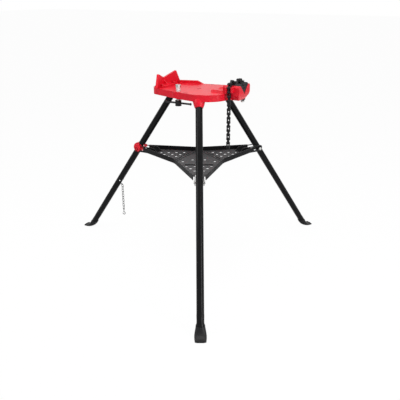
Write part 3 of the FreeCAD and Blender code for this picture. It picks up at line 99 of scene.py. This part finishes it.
def put(tree, kind, inputs=None, **settings):
    """A node with its settings; each input is a number, a colour or a socket to link from."""
    node = tree.nodes.new(kind)
    for name, value in settings.items():
        setattr(node, name, value)
    for name, value in (inputs or {}).items():
        feed(tree, node.inputs[name], value)
    return node


def group_tree(name, inputs, outputs):
    """An empty node group, with the sockets of its two ends."""
    group = bpy.data.node_groups.new(name, "ShaderNodeTree")
    for label, default in inputs.items():
        socket = group.interface.new_socket(label, in_out="INPUT", socket_type="NodeSocketFloat")
        socket.default_value = default
    for label, kind in outputs.items():
        group.interface.new_socket(label, in_out="OUTPUT", socket_type=kind)
    given = group.nodes.new("NodeGroupInput").outputs
    out = group.nodes.new("NodeGroupOutput").inputs
    return group, given, out


def use(tree, group, **inputs):
    """A group placed in a material; an underscore in a name stands for a space."""
    node = put(tree, "ShaderNodeGroup", node_tree=group)
    for name, value in inputs.items():
        node.inputs[name.replace("_", " ")].default_value = value
    return node.outputs


def local_point(tree):
    """The point on the piece in the piece's own space, which moves with the piece."""
    return put(tree, "ShaderNodeTexCoord").outputs["Object"]


def noise(tree, scale, detail, roughness, vector=None):
    """Fractal noise from 0 to 1 over the piece, or over the vector that is given."""
    inputs = {"Vector": vector or local_point(tree), "Scale": scale, "Detail": detail,
              "Roughness": roughness}
    return put(tree, "ShaderNodeTexNoise", inputs).outputs["Fac"]


def ramp(tree, value, low, high, to_low=0.0, to_high=1.0):
    """The value stretched from the range low..high to to_low..to_high, and clamped there."""
    inputs = {"Value": value, "From Min": low, "From Max": high, "To Min": to_low,
              "To Max": to_high}
    return put(tree, "ShaderNodeMapRange", inputs).outputs["Result"]


def maths(tree, operation, first, second):
    """One sum, product or other operation on two values."""
    node = put(tree, "ShaderNodeMath", operation=operation)
    feed(tree, node.inputs[0], first)
    feed(tree, node.inputs[1], second)
    return node.outputs[0]


def blend_colour(tree, share, first, second):
    """The first colour where the share is 0 and the second where it is 1."""
    share_socket, first_socket, second_socket, result = 0, 6, 7, 2    # a colour Mix node's own
    node = put(tree, "ShaderNodeMix", data_type="RGBA")
    feed(tree, node.inputs[share_socket], share)
    for socket, colour in ((first_socket, first), (second_socket, second)):
        opaque = (*colour, 1.0) if isinstance(colour, tuple) else colour
        feed(tree, node.inputs[socket], opaque)
    return node.outputs[result]


def level_share(tree, steep, level):
    """How far a face looks up: 0 at the steep value of its normal's z and 1 at the level one."""
    normal = put(tree, "ShaderNodeNewGeometry").outputs["Normal"]
    upward = put(tree, "ShaderNodeSeparateXYZ", {"Vector": normal}).outputs["Z"]
    return ramp(tree, upward, steep, level)


# ------------------------------------------------------------------ shared effects
def make_edge_wear():
    """Rounded edges for the shading, and a mask of the rubbed, broken-up paint along them."""
    group, given, out = group_tree(
        "edge_wear", {"Radius": 0.002, "Wear": 0.5, "Break Scale": 180.0},
        {"Normal": "NodeSocketVector", "Mask": "NodeSocketFloat"})
    flat_cosine, rubbed_cosine = 0.99, 0.86    # between the rounded normal and the face's own
    kept_noise, broken_noise = 0.42, 0.62
    rounded = put(group, "ShaderNodeBevel", {"Radius": given["Radius"]}, samples=6).outputs[0]
    own_normal = put(group, "ShaderNodeNewGeometry").outputs["Normal"]
    cosine = put(group, "ShaderNodeVectorMath", operation="DOT_PRODUCT")
    feed(group, cosine.inputs[0], rounded)
    feed(group, cosine.inputs[1], own_normal)
    edge = ramp(group, cosine.outputs["Value"], flat_cosine, rubbed_cosine)
    patches = noise(group, given["Break Scale"], detail=4.0, roughness=0.6)
    broken = ramp(group, patches, kept_noise, broken_noise)
    mask = maths(group, "MULTIPLY", edge, maths(group, "MULTIPLY", broken, given["Wear"]))
    group.links.new(rounded, out["Normal"])
    group.links.new(mask, out["Mask"])
    return group


def make_cast_grain():
    """The skin of sand-cast iron under paint: fine pits on slow, shallow waves."""
    group, given, out = group_tree(
        "cast_grain", {"Pit Scale": 700.0, "Wave Scale": 60.0, "Wave Share": 0.4},
        {"Height": "NodeSocketFloat", "Tone": "NodeSocketFloat"})
    pits = noise(group, given["Pit Scale"], detail=4.0, roughness=0.6)
    waves = noise(group, given["Wave Scale"], detail=2.0, roughness=0.5)
    height = maths(group, "ADD", maths(group, "MULTIPLY", waves, given["Wave Share"]), pits)
    group.links.new(height, out["Height"])
    group.links.new(waves, out["Tone"])
    return group


def make_settled_dust():
    """A mask of workshop dust on faces that look up, thicker in patches."""
    group, given, out = group_tree(
        "settled_dust", {"Amount": 0.2, "Patch Scale": 14.0}, {"Mask": "NodeSocketFloat"})
    clean_noise, dusty_noise = 0.35, 0.7
    level = level_share(group, steep=0.35, level=0.95)
    clouds = noise(group, given["Patch Scale"], detail=5.0, roughness=0.6)
    patches = ramp(group, clouds, clean_noise, dusty_noise)
    mask = maths(group, "MULTIPLY", level, maths(group, "MULTIPLY", patches, given["Amount"]))
    group.links.new(mask, out["Mask"])
    return group


def make_handling_marks():
    """A mask of thin scratches in two directions, with scuffed patches between them."""
    group, given, out = group_tree(
        "handling_marks", {"Amount": 0.3, "Line Scale": 90.0}, {"Mask": "NodeSocketFloat"})
    scratch_turns = ((0.3, 0.5, 0.9), (1.1, -0.4, -0.6))
    scratch_stretch = (0.12, 1.6, 1.0)
    scratch_edge, scratch_full = 0.655, 0.70
    scuff_scale, scuff_edge, scuff_full, scuff_most = 24.0, 0.52, 0.75, 0.7
    lines = 0.0
    for turn in scratch_turns:
        mapping = put(group, "ShaderNodeMapping", {
            "Vector": local_point(group), "Rotation": turn, "Scale": scratch_stretch})
        streak = noise(group, given["Line Scale"], 2.0, 0.5, mapping.outputs[0])
        lines = maths(group, "MAXIMUM", lines, ramp(group, streak, scratch_edge, scratch_full))
    patches = noise(group, scuff_scale, detail=6.0, roughness=0.65)
    scuffs = ramp(group, patches, scuff_edge, scuff_full, 0.0, scuff_most)
    marks = maths(group, "MAXIMUM", lines, scuffs)
    group.links.new(maths(group, "MULTIPLY", marks, given["Amount"]), out["Mask"])
    return group


EDGE_WEAR = make_edge_wear()
CAST_GRAIN = make_cast_grain()
SETTLED_DUST = make_settled_dust()
HANDLING_MARKS = make_handling_marks()
DUST_COLOUR = (0.30, 0.28, 0.26)
MIDDLE_NOISE = (0.3, 0.7)    # where most of a noise lies


# ------------------------------------------------------------------ materials
def new_material(name, **constants):
    """A material and its shader, whose constants stand on its own sockets."""
    material = bpy.data.materials.new(name)
    material.use_nodes = True
    shader = material.node_tree.nodes["Principled BSDF"]
    for label, value in constants.items():
        shader.inputs[label.replace("_", " ")].default_value = value
    return material, material.node_tree, shader


def bump(tree, height, normal, strength, distance):
    """A normal tilted by the relief of a height."""
    inputs = {"Height": height, "Normal": normal, "Strength": strength, "Distance": distance}
    return put(tree, "ShaderNodeBump", inputs).outputs["Normal"]


def coated(name, colour, deep, worn, roughness, edge_radius, edge_wear, pit_scale, wave_scale,
           marks, dust, relief, **constants):
    """A paint or coating over metal: two tones, rubbed edges, marks, dust and a fine relief.

    roughness is its lowest and highest value, marks and dust are the most of each, and relief
    is the depth of the grain."""
    dust_roughness, grain_strength = 0.4, 0.5
    grain_low, grain_high = 0.4, 1.1    # where most of the grain's height lies
    material, tree, shader = new_material(name, **constants)
    edges = use(tree, EDGE_WEAR, Radius=edge_radius, Wear=edge_wear)
    grain = use(tree, CAST_GRAIN, Pit_Scale=pit_scale, Wave_Scale=wave_scale)
    tone = ramp(tree, grain["Tone"], *MIDDLE_NOISE)
    paint = blend_colour(tree, tone, deep, colour)
    scratched = blend_colour(tree, use(tree, HANDLING_MARKS, Amount=marks)["Mask"], paint, worn)
    rubbed = blend_colour(tree, edges["Mask"], scratched, worn)
    dusty = use(tree, SETTLED_DUST, Amount=dust)["Mask"]
    tree.links.new(blend_colour(tree, dusty, rubbed, DUST_COLOUR), shader.inputs["Base Color"])
    gloss = ramp(tree, grain["Height"], grain_low, grain_high, *roughness)
    dulled = maths(tree, "ADD", gloss, maths(tree, "MULTIPLY", dusty, dust_roughness))
    tree.links.new(dulled, shader.inputs["Roughness"])
    tree.links.new(bump(tree, grain["Height"], edges["Normal"], grain_strength, relief),
                   shader.inputs["Normal"])
    return material


def pressed_sheet_paint():
    """Satin black on pressed sheet: faces that look up are painted a lighter grey in cloudy patches as a painted
    sheen, and the lips stay black.
    """
    fresh, sheen_grey = (0.008, 0.008, 0.009), (0.088, 0.088, 0.092)
    scratch_grey, edge_grey = (0.26, 0.26, 0.26), (0.20, 0.20, 0.20)
    cloud_scale, least_cloud = 22.0, 0.45
    satin, scuffed_roughness = 0.34, 0.52
    grain_strength, relief = 0.4, 0.2 * MM
    material, tree, shader = new_material("tray_paint", Specular_IOR_Level=0.08)
    edges = use(tree, EDGE_WEAR, Radius=1.2 * MM, Wear=0.45)
    grain = use(tree, CAST_GRAIN, Pit_Scale=900.0, Wave_Scale=30.0, Wave_Share=0.8)
    # painted sheen: the grey laid on faces that look up, in cloudy patches, stands in for the light that satin
    # black reflects there
    level = level_share(tree, steep=0.6, level=0.95)
    patches = noise(tree, cloud_scale, detail=6.0, roughness=0.6)
    clouds = ramp(tree, patches, *MIDDLE_NOISE, least_cloud, 1.0)
    painted_sheen_share = maths(tree, "MULTIPLY", level, clouds)
    paint = blend_colour(tree, painted_sheen_share, fresh, sheen_grey)
    marks = use(tree, HANDLING_MARKS, Amount=0.35, Line_Scale=70.0)["Mask"]
    marked = blend_colour(tree, maths(tree, "MULTIPLY", marks, level), paint, scratch_grey)
    rubbed = blend_colour(tree, edges["Mask"], marked, edge_grey)
    tree.links.new(rubbed, shader.inputs["Base Color"])
    tree.links.new(ramp(tree, clouds, least_cloud, 1.0, satin, scuffed_roughness),
                   shader.inputs["Roughness"])
    tree.links.new(bump(tree, grain["Height"], edges["Normal"], grain_strength, relief),
                   shader.inputs["Normal"])
    return material


def bare_steel(name, bright, dull, roughness, edge_radius, edge_wear, streak, **constants):
    """Plated or oxidised steel: rolled or turned streaks, tarnish in patches, rubbed edges.

    roughness is its lowest and highest value, and streak how much finer the streaks are
    along Z than across it."""
    streak_scale = 260.0
    tarnish_scale, clean_noise, tarnished_noise = 70.0, 0.35, 0.7
    edge_gain, edge_lift = 1.5, 0.16
    streak_strength, relief = 0.35, 0.1 * MM
    material, tree, shader = new_material(name, **constants)
    edges = use(tree, EDGE_WEAR, Radius=edge_radius, Wear=edge_wear, Break_Scale=300.0)
    mapping = put(tree, "ShaderNodeMapping", {"Vector": local_point(tree),
                                              "Scale": (1.0, 1.0, streak)})
    lines = noise(tree, streak_scale, 3.0, 0.6, mapping.outputs[0])
    clouds = noise(tree, tarnish_scale, detail=5.0, roughness=0.65)
    tarnish = ramp(tree, clouds, clean_noise, tarnished_noise)
    body = blend_colour(tree, tarnish, bright, dull)
    edge_colour = tuple(min(1.0, part * edge_gain + edge_lift) for part in bright)
    tree.links.new(blend_colour(tree, edges["Mask"], body, edge_colour),
                   shader.inputs["Base Color"])
    tree.links.new(ramp(tree, lines, *MIDDLE_NOISE, *roughness), shader.inputs["Roughness"])
    tree.links.new(bump(tree, lines, edges["Normal"], streak_strength, relief),
                   shader.inputs["Normal"])
    return material


SLOTS = {
    "red_paint": coated(
        "red_paint", colour=(0.70, 0.0035, 0.020), deep=(0.60, 0.0025, 0.015),
        worn=(0.36, 0.01, 0.02), roughness=(0.28, 0.44), edge_radius=4.5 * MM, edge_wear=0.35,
        pit_scale=420.0, wave_scale=45.0, marks=0.04, dust=0.02, relief=0.4 * MM,
        Specular_IOR_Level=0.28),
    "black_tube": coated(
        "black_tube", colour=(0.0050, 0.0050, 0.0056), deep=(0.0036, 0.0036, 0.0042),
        worn=(0.03, 0.03, 0.03), roughness=(0.14, 0.22), edge_radius=1.2 * MM, edge_wear=0.4,
        pit_scale=1200.0, wave_scale=30.0, marks=0.04, dust=0.01, relief=0.03 * MM,
        Specular_IOR_Level=0.10),
    "black_vinyl": coated(
        "black_vinyl", colour=(0.008, 0.008, 0.009), deep=(0.005, 0.005, 0.006),
        worn=(0.04, 0.04, 0.04), roughness=(0.40, 0.58), edge_radius=3 * MM, edge_wear=0.25,
        pit_scale=500.0, wave_scale=40.0, marks=0.10, dust=0.06, relief=0.4 * MM,
        Specular_IOR_Level=0.2),
    "tray_paint": pressed_sheet_paint(),
    "black_iron": coated(
        "black_iron", colour=(0.014, 0.014, 0.016), deep=(0.008, 0.008, 0.009),
        worn=(0.16, 0.15, 0.14), roughness=(0.34, 0.52), edge_radius=1.2 * MM, edge_wear=0.5,
        pit_scale=800.0, wave_scale=90.0, marks=0.10, dust=0.04, relief=0.4 * MM,
        Specular_IOR_Level=0.2),
    "zinc_steel": bare_steel(
        "zinc_steel", bright=(0.66, 0.66, 0.65), dull=(0.46, 0.46, 0.45), roughness=(0.22, 0.40),
        edge_radius=0.8 * MM, edge_wear=0.6, streak=6.0, Metallic=1.0),
    "jaw_steel": bare_steel(
        "jaw_steel", bright=(0.016, 0.016, 0.018), dull=(0.009, 0.009, 0.010),
        roughness=(0.32, 0.50), edge_radius=0.8 * MM, edge_wear=0.30, streak=1.0,
        Metallic=0.3, Specular_IOR_Level=0.25),
    "chain_steel": bare_steel(
        "chain_steel", bright=(0.012, 0.012, 0.013), dull=(0.006, 0.006, 0.007),
        roughness=(0.30, 0.46), edge_radius=0.6 * MM, edge_wear=0.25, streak=1.0,
        Metallic=0.3, Specular_IOR_Level=0.25),
}
SPRAYED_WITH_THE_IRON = ("rest_screws", "tray_bolt_rear")


def finish_cad_nodes():
    """Each CAD node takes its slot's finish, and two fasteners the paint of the iron round them."""
    for entry in frame["record"]["subparts"]:
        sprayed = entry["node"] in SPRAYED_WITH_THE_IRON
        materials = NODES[entry["node"]].data.materials
        materials.clear()
        materials.append(SLOTS["red_paint" if sprayed else entry["material_slot"]])


finish_cad_nodes()


# ------------------------------------------------------------------ studio
def seen_as_white(tree, plain_strength):
    """A strength of one to camera, glossy and transmission rays, and a plain one to the rest."""
    path = put(tree, "ShaderNodeLightPath").outputs
    mirrored = maths(tree, "MAXIMUM", path["Is Glossy Ray"], path["Is Transmission Ray"])
    seen = maths(tree, "MAXIMUM", path["Is Camera Ray"], mirrored)
    return ramp(tree, seen, 0.0, 1.0, plain_strength, 1.0)


def set_world():
    """A white studio round the object, dimmer as a light than it looks."""
    studio_light = 0.42
    world = bpy.data.worlds.new("studio_white")
    world.use_nodes = True
    tree = world.node_tree
    background = tree.nodes["Background"]
    background.inputs["Color"].default_value = (1.0, 1.0, 1.0, 1.0)
    tree.links.new(seen_as_white(tree, studio_light), background.inputs["Strength"])
    bpy.context.scene.world = world


def floor_white():
    """White to the camera for the most part, with a share of lit matt for the shadow."""
    matt_white, glow_share = (0.96, 0.96, 0.96, 1.0), 0.96
    material = bpy.data.materials.new("floor_white")
    material.use_nodes = True
    tree = material.node_tree
    tree.nodes.clear()
    matt = put(tree, "ShaderNodeBsdfDiffuse", {"Color": matt_white})
    glow = put(tree, "ShaderNodeEmission")
    seen = put(tree, "ShaderNodeLightPath").outputs["Is Camera Ray"]
    mix = put(tree, "ShaderNodeMixShader")
    tree.links.new(maths(tree, "MULTIPLY", seen, glow_share), mix.inputs[0])
    tree.links.new(matt.outputs[0], mix.inputs[1])
    tree.links.new(glow.outputs[0], mix.inputs[2])
    out = put(tree, "ShaderNodeOutputMaterial")
    tree.links.new(mix.outputs[0], out.inputs["Surface"])
    return material


def set_floor():
    """A wide white floor under the feet."""
    reach = 30.0
    mesh = bpy.data.meshes.new("floor")
    corners = [(-reach, -reach, 0), (reach, -reach, 0), (reach, reach, 0), (-reach, reach, 0)]
    mesh.from_pydata(corners, [], [(0, 1, 2, 3)])
    floor = bpy.data.objects.new("floor", mesh)
    bpy.context.scene.collection.objects.link(floor)
    mesh.materials.append(floor_white())


set_camera()
set_world()
set_floor()
area_lamp("overhead_softbox", place=(0.3, -0.4, 3.2), target=(0, 0, 0.6),
          width=2.2, depth=2.2, watts=52)
area_lamp("key_softbox", place=(-1.9, -2.2, 2.3), target=(0, 0, 0.6),
          width=1.0, depth=1.8, watts=24)
area_lamp("strip_light", place=(3.5, -0.9, 1.6), target=(0, 0, 0.5),
          width=0.8, depth=2.4, watts=62)


# ------------------------------------------------------------------ mesh helpers
def piece(name, shape, slot, body, smooth=35.0):
    """A mesh piece from its (vertices, faces), with its finish and body.

    Edges that turn by less than smooth, in degrees, are shaded as one surface."""
    mesh = bpy.data.meshes.new(name)
    mesh.from_pydata([tuple(v) for v in shape[0]], [], shape[1])
    work = bmesh.new()
    work.from_mesh(mesh)
    bmesh.ops.recalc_face_normals(work, faces=work.faces)
    work.to_mesh(mesh)
    work.free()
    mesh.shade_smooth()
    mesh.set_sharp_from_angle(angle=math.radians(smooth))
    made = bpy.data.objects.new(name, mesh)
    bpy.context.scene.collection.objects.link(made)
    mesh.materials.append(SLOTS[slot])
    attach(made, body)
    return made


def join(shapes):
    """Several (vertices, faces) pairs as one."""
    vertices, faces = [], []
    for points, polygons in shapes:
        start = len(vertices)
        vertices += list(points)
        faces += [tuple(corner + start for corner in polygon) for polygon in polygons]
    return vertices, faces


def placed(shape, matrix):
    """A shape moved by a matrix."""
    vertices, faces = shape
    return [matrix @ Vector(v) for v in vertices], faces


def skin(rings):
    """Closed rings of equally many points, skinned in order and closed by flat ends."""
    sides, rows = len(rings[0]), len(rings)
    faces = [(row * sides + side, row * sides + (side + 1) % sides,
              (row + 1) * sides + (side + 1) % sides, (row + 1) * sides + side)
             for row in range(rows - 1) for side in range(sides)]
    faces.append(tuple(range(sides)))
    faces.append(tuple(range((rows - 1) * sides, rows * sides)))
    return [point for ring in rings for point in ring], faces


def circle(radius, height, sides):
    """A ring of points about Z."""
    turns = [2 * math.pi * side / sides for side in range(sides)]
    return [Vector((radius * math.cos(turn), radius * math.sin(turn), height)) for turn in turns]


def lathe(profile, sides=40):
    """A solid of revolution about Z from (radius, height) pairs."""
    return skin([circle(radius, height, sides) for radius, height in profile])


def threaded(low, high, core, crest, pitch, sides=36, steps=10):
    """A screw about Z with a rounded right-hand thread that fades out at both ends."""
    fullness = 0.7    # under 1 makes the crests broader than the valleys
    rows = int((high - low) / pitch * steps) + 1
    rings = []
    for row in range(rows):
        z = low + (high - low) * row / (rows - 1)
        fade = min(1.0, (z - low) / pitch, (high - z) / pitch)
        ring = []
        for side in range(sides):
            wave = 0.5 + 0.5 * math.cos(2 * math.pi * (z / pitch - side / sides))
            radius = core + (crest - core) * fade * wave ** fullness
            angle = 2 * math.pi * side / sides
            ring.append(Vector((radius * math.cos(angle), radius * math.sin(angle), z)))
        rings.append(ring)
    return skin(rings)


def bar(start, end, radius, spans=8, sides=12, rows=3):
    """A straight round bar with domed ends."""
    start, end = Vector(start), Vector(end)
    length = (end - start).length
    dome_height = radius * 0.8
    flat = 0.3    # the dome stops this share of a row short of its pole
    turns = [math.pi / 2 * (row + flat) / (rows + flat) for row in range(rows)]
    end_rings = [(radius * math.sin(turn), -dome_height * math.cos(turn)) for turn in turns]
    profile = end_rings + [(radius, length * span / spans) for span in range(spans + 1)]
    profile += [(ring_radius, length - height) for ring_radius, height in reversed(end_rings)]
    return placed(lathe(profile, sides), facing(start, end - start))


def softened_box(low, high, soft):
    """A box with rounded edges and corners."""
    shape = bmesh.new()
    bmesh.ops.create_cube(shape, size=1.0)
    size = Vector(high) - Vector(low)
    centre = (Vector(high) + Vector(low)) / 2
    for vertex in shape.verts:
        vertex.co = Vector(a * b for a, b in zip(vertex.co, size)) + centre
    bmesh.ops.bevel(shape, geom=shape.edges[:] + shape.verts[:], offset=soft, segments=3,
                    profile=0.5, affect="EDGES")
    shape.verts.index_update()
    vertices = [v.co.copy() for v in shape.verts]
    faces = [tuple(v.index for v in f.verts) for f in shape.faces]
    shape.free()
    return vertices, faces


def dome(radius, height, rows=6, sides=28):
    """A rivet's or pin's domed head on z = 0, with its foot sunk a little below."""
    foot, crown = 0.96, 0.06        # shares of the radius
    sunk, straight = 0.15, 0.12     # shares of the height
    turns = [math.pi / 2 * row / rows for row in range(1, rows)]
    profile = [(radius * foot, -sunk * height), (radius, straight * height)]
    profile += [(radius * math.cos(turn), height * (straight + (1 - straight) * math.sin(turn)))
                for turn in turns]
    profile.append((radius * crown, height))
    return lathe(profile, sides)


def facing(place, direction):
    """The matrix that stands a shape's +Z on a place, pointing in a direction."""
    turn = Vector(direction).to_track_quat("Z", "Y").to_matrix().to_4x4()
    return Matrix.Translation(Vector(place)) @ turn


def in_plane(azimuth, across, aside, height):
    """A point in a leg's radial plane: out along it, aside from it, and up."""
    return Vector((across * math.cos(azimuth) - aside * math.sin(azimuth),
                   across * math.sin(azimuth) + aside * math.cos(azimuth), height))


def middle(node):
    """The middle of a CAD node's box."""
    low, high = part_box(node)
    return (low + high) / 2


# ------------------------------------------------------------------ screws
def build_brace_screw():
    """The ceiling brace's screw with its real thread."""
    pitch, thread_depth = 5 * MM, 1.5 * MM
    low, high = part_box("brace_screw")
    axis = middle("brace_screw")
    crest = (high.x - low.x) / 2
    screw = placed(threaded(low.z, high.z, crest - thread_depth, crest, pitch),
                   Matrix.Translation((axis.x, axis.y, 0)))
    made = piece("brace_screw_threaded", screw, "zinc_steel", "brace_handle", smooth=60.0)
    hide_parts("brace_screw")


def build_brace_bar_ends():
    """The upset knobs on both ends of the brace's bar."""
    low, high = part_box("brace_bar")
    centre = middle("brace_bar")
    bar_radius = (high.z - low.z) / 2
    overlap = 4 * MM
    outline = ((0.9, 0), (1.25, 1.2), (1.3, 4), (1.1, 6), (0.5, 6.8))    # bar radii, millimetres
    knob = lathe([(bar_radius * share, height * MM) for share, height in outline], sides=24)
    ends = ((low.x + overlap, -1), (high.x - overlap, 1))
    knobs = [placed(knob, facing((x, centre.y, centre.z), (side, 0, 0))) for x, side in ends]
    piece("brace_bar_ends", join(knobs), "black_iron", "brace_handle")


def build_tension_screw_end():
    """The threaded tail of the tension screw under its nut."""
    pitch, shank_radius = 2.5 * MM, 8 * MM
    crest_rise, core_drop, end_gap = 0.7 * MM, 0.2 * MM, 0.4 * MM
    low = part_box("tension_screw")[0]
    nut_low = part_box("tension_nut")[0]
    axis = middle("tension_nut")
    tail = threaded(low.z + end_gap, nut_low.z - end_gap, shank_radius - core_drop,
                    shank_radius + crest_rise, pitch)
    piece("tension_screw_thread", placed(tail, Matrix.Translation((axis.x, axis.y, 0))),
          "zinc_steel", "tension_rod", smooth=60.0)


# ------------------------------------------------------------------ head
def build_underside_ribs():
    """Cast ribs in the hollow under the deck, from the middle boss towards each leg."""
    deck_under, rib_low = PIVOT_HEIGHT + 18.5 * MM, PIVOT_HEIGHT
    thick, start, reach, soft = 6 * MM, 18 * MM, 100 * MM, 2 * MM
    boss_radius, boss_swell, boss_round = 21.5 * MM, 1 * MM, 4 * MM
    bore_radius, bore_taper, bore_floor = 12 * MM, 1 * MM, 4 * MM
    rib = softened_box((start, -thick / 2, rib_low), (reach, thick / 2, deck_under), soft)
    ribs = [placed(rib, Matrix.Rotation(azimuth, 4, "Z")) for azimuth in LEGS.values()]
    ribs.append(lathe([(boss_radius, deck_under), (boss_radius + boss_swell, rib_low + boss_round),
                       (boss_radius, rib_low), (bore_radius, rib_low),
                       (bore_radius - bore_taper, deck_under - bore_floor)], sides=36))
    piece("underside_ribs", join(ribs), "red_paint", "head")


def build_pin_heads():
    """Domed, peened ends on the leg pivot pins."""
    pin_half, head_radius, head_height = 32.2 * MM, 6.6 * MM, 2 * MM
    head = dome(head_radius, head_height)
    heads = [placed(head, facing(in_plane(azimuth, PIVOT_OUT, side * pin_half, PIVOT_HEIGHT),
                                 in_plane(azimuth, 0, side, 0)))
             for azimuth in LEGS.values() for side in (1, -1)]
    piece("pivot_pin_heads", join(heads), "zinc_steel", "head")


# ------------------------------------------------------------------ rear leg and tray
def build_rear_leg_rivets():
    """The plated rivets through the clamp's lug and through the tube over the retaining eye."""
    tube_radius, eye_rivet_radius, eye_rivet_height = 16.7 * MM, 4 * MM, 2 * MM
    lug_half, lug_rivet_radius, lug_rivet_height = 8 * MM, 4.6 * MM, 2.2 * MM
    over_eye = middle("retainer_eye") + Vector((3 * MM, 0, 24 * MM))
    over_eye.y = 0
    lug_inset, lug_rise = 12 * MM, 20 * MM    # from the clamp's inner end and over the tray's bolt
    lug = Vector((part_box("rear_leg_collar")[1].x - lug_inset, 0,
                  middle("tray_bolt_rear").z + lug_rise))
    rivets = []
    for side in (1, -1):
        out = Vector((0, side, 0))
        rivets.append(placed(dome(eye_rivet_radius, eye_rivet_height),
                             facing(over_eye + out * tube_radius, out)))
        rivets.append(placed(dome(lug_rivet_radius, lug_rivet_height),
                             facing(lug + out * lug_half, out)))
    piece("rear_leg_rivets", join(rivets), "zinc_steel", "leg_rear")


def build_tray_beads():
    """The rolled upper edge along both lips of each leaf."""
    bead_radius = 1.7 * MM
    lip_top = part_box("tray_centre")[1].z
    root, root_half = LEAF_HINGE_OUT - 5 * MM, 118.5 * MM
    tip, tip_half = LEAF_HINGE_OUT + 240 * MM, 29.5 * MM
    for side, azimuth in LEGS.items():
        beads = [bar(in_plane(azimuth, root, hand * root_half, lip_top),
                     in_plane(azimuth, tip, hand * tip_half, lip_top), bead_radius)
                 for hand in (1, -1)]
        piece("leaf_lip_beads_" + side, join(beads), "tray_paint", "leaf_" + side)


build_brace_screw()
build_brace_bar_ends()
build_tension_screw_end()
build_underside_ribs()
build_pin_heads()
build_rear_leg_rivets()
build_tray_beads()

bpy.context.scene.view_settings.view_transform = "Standard"
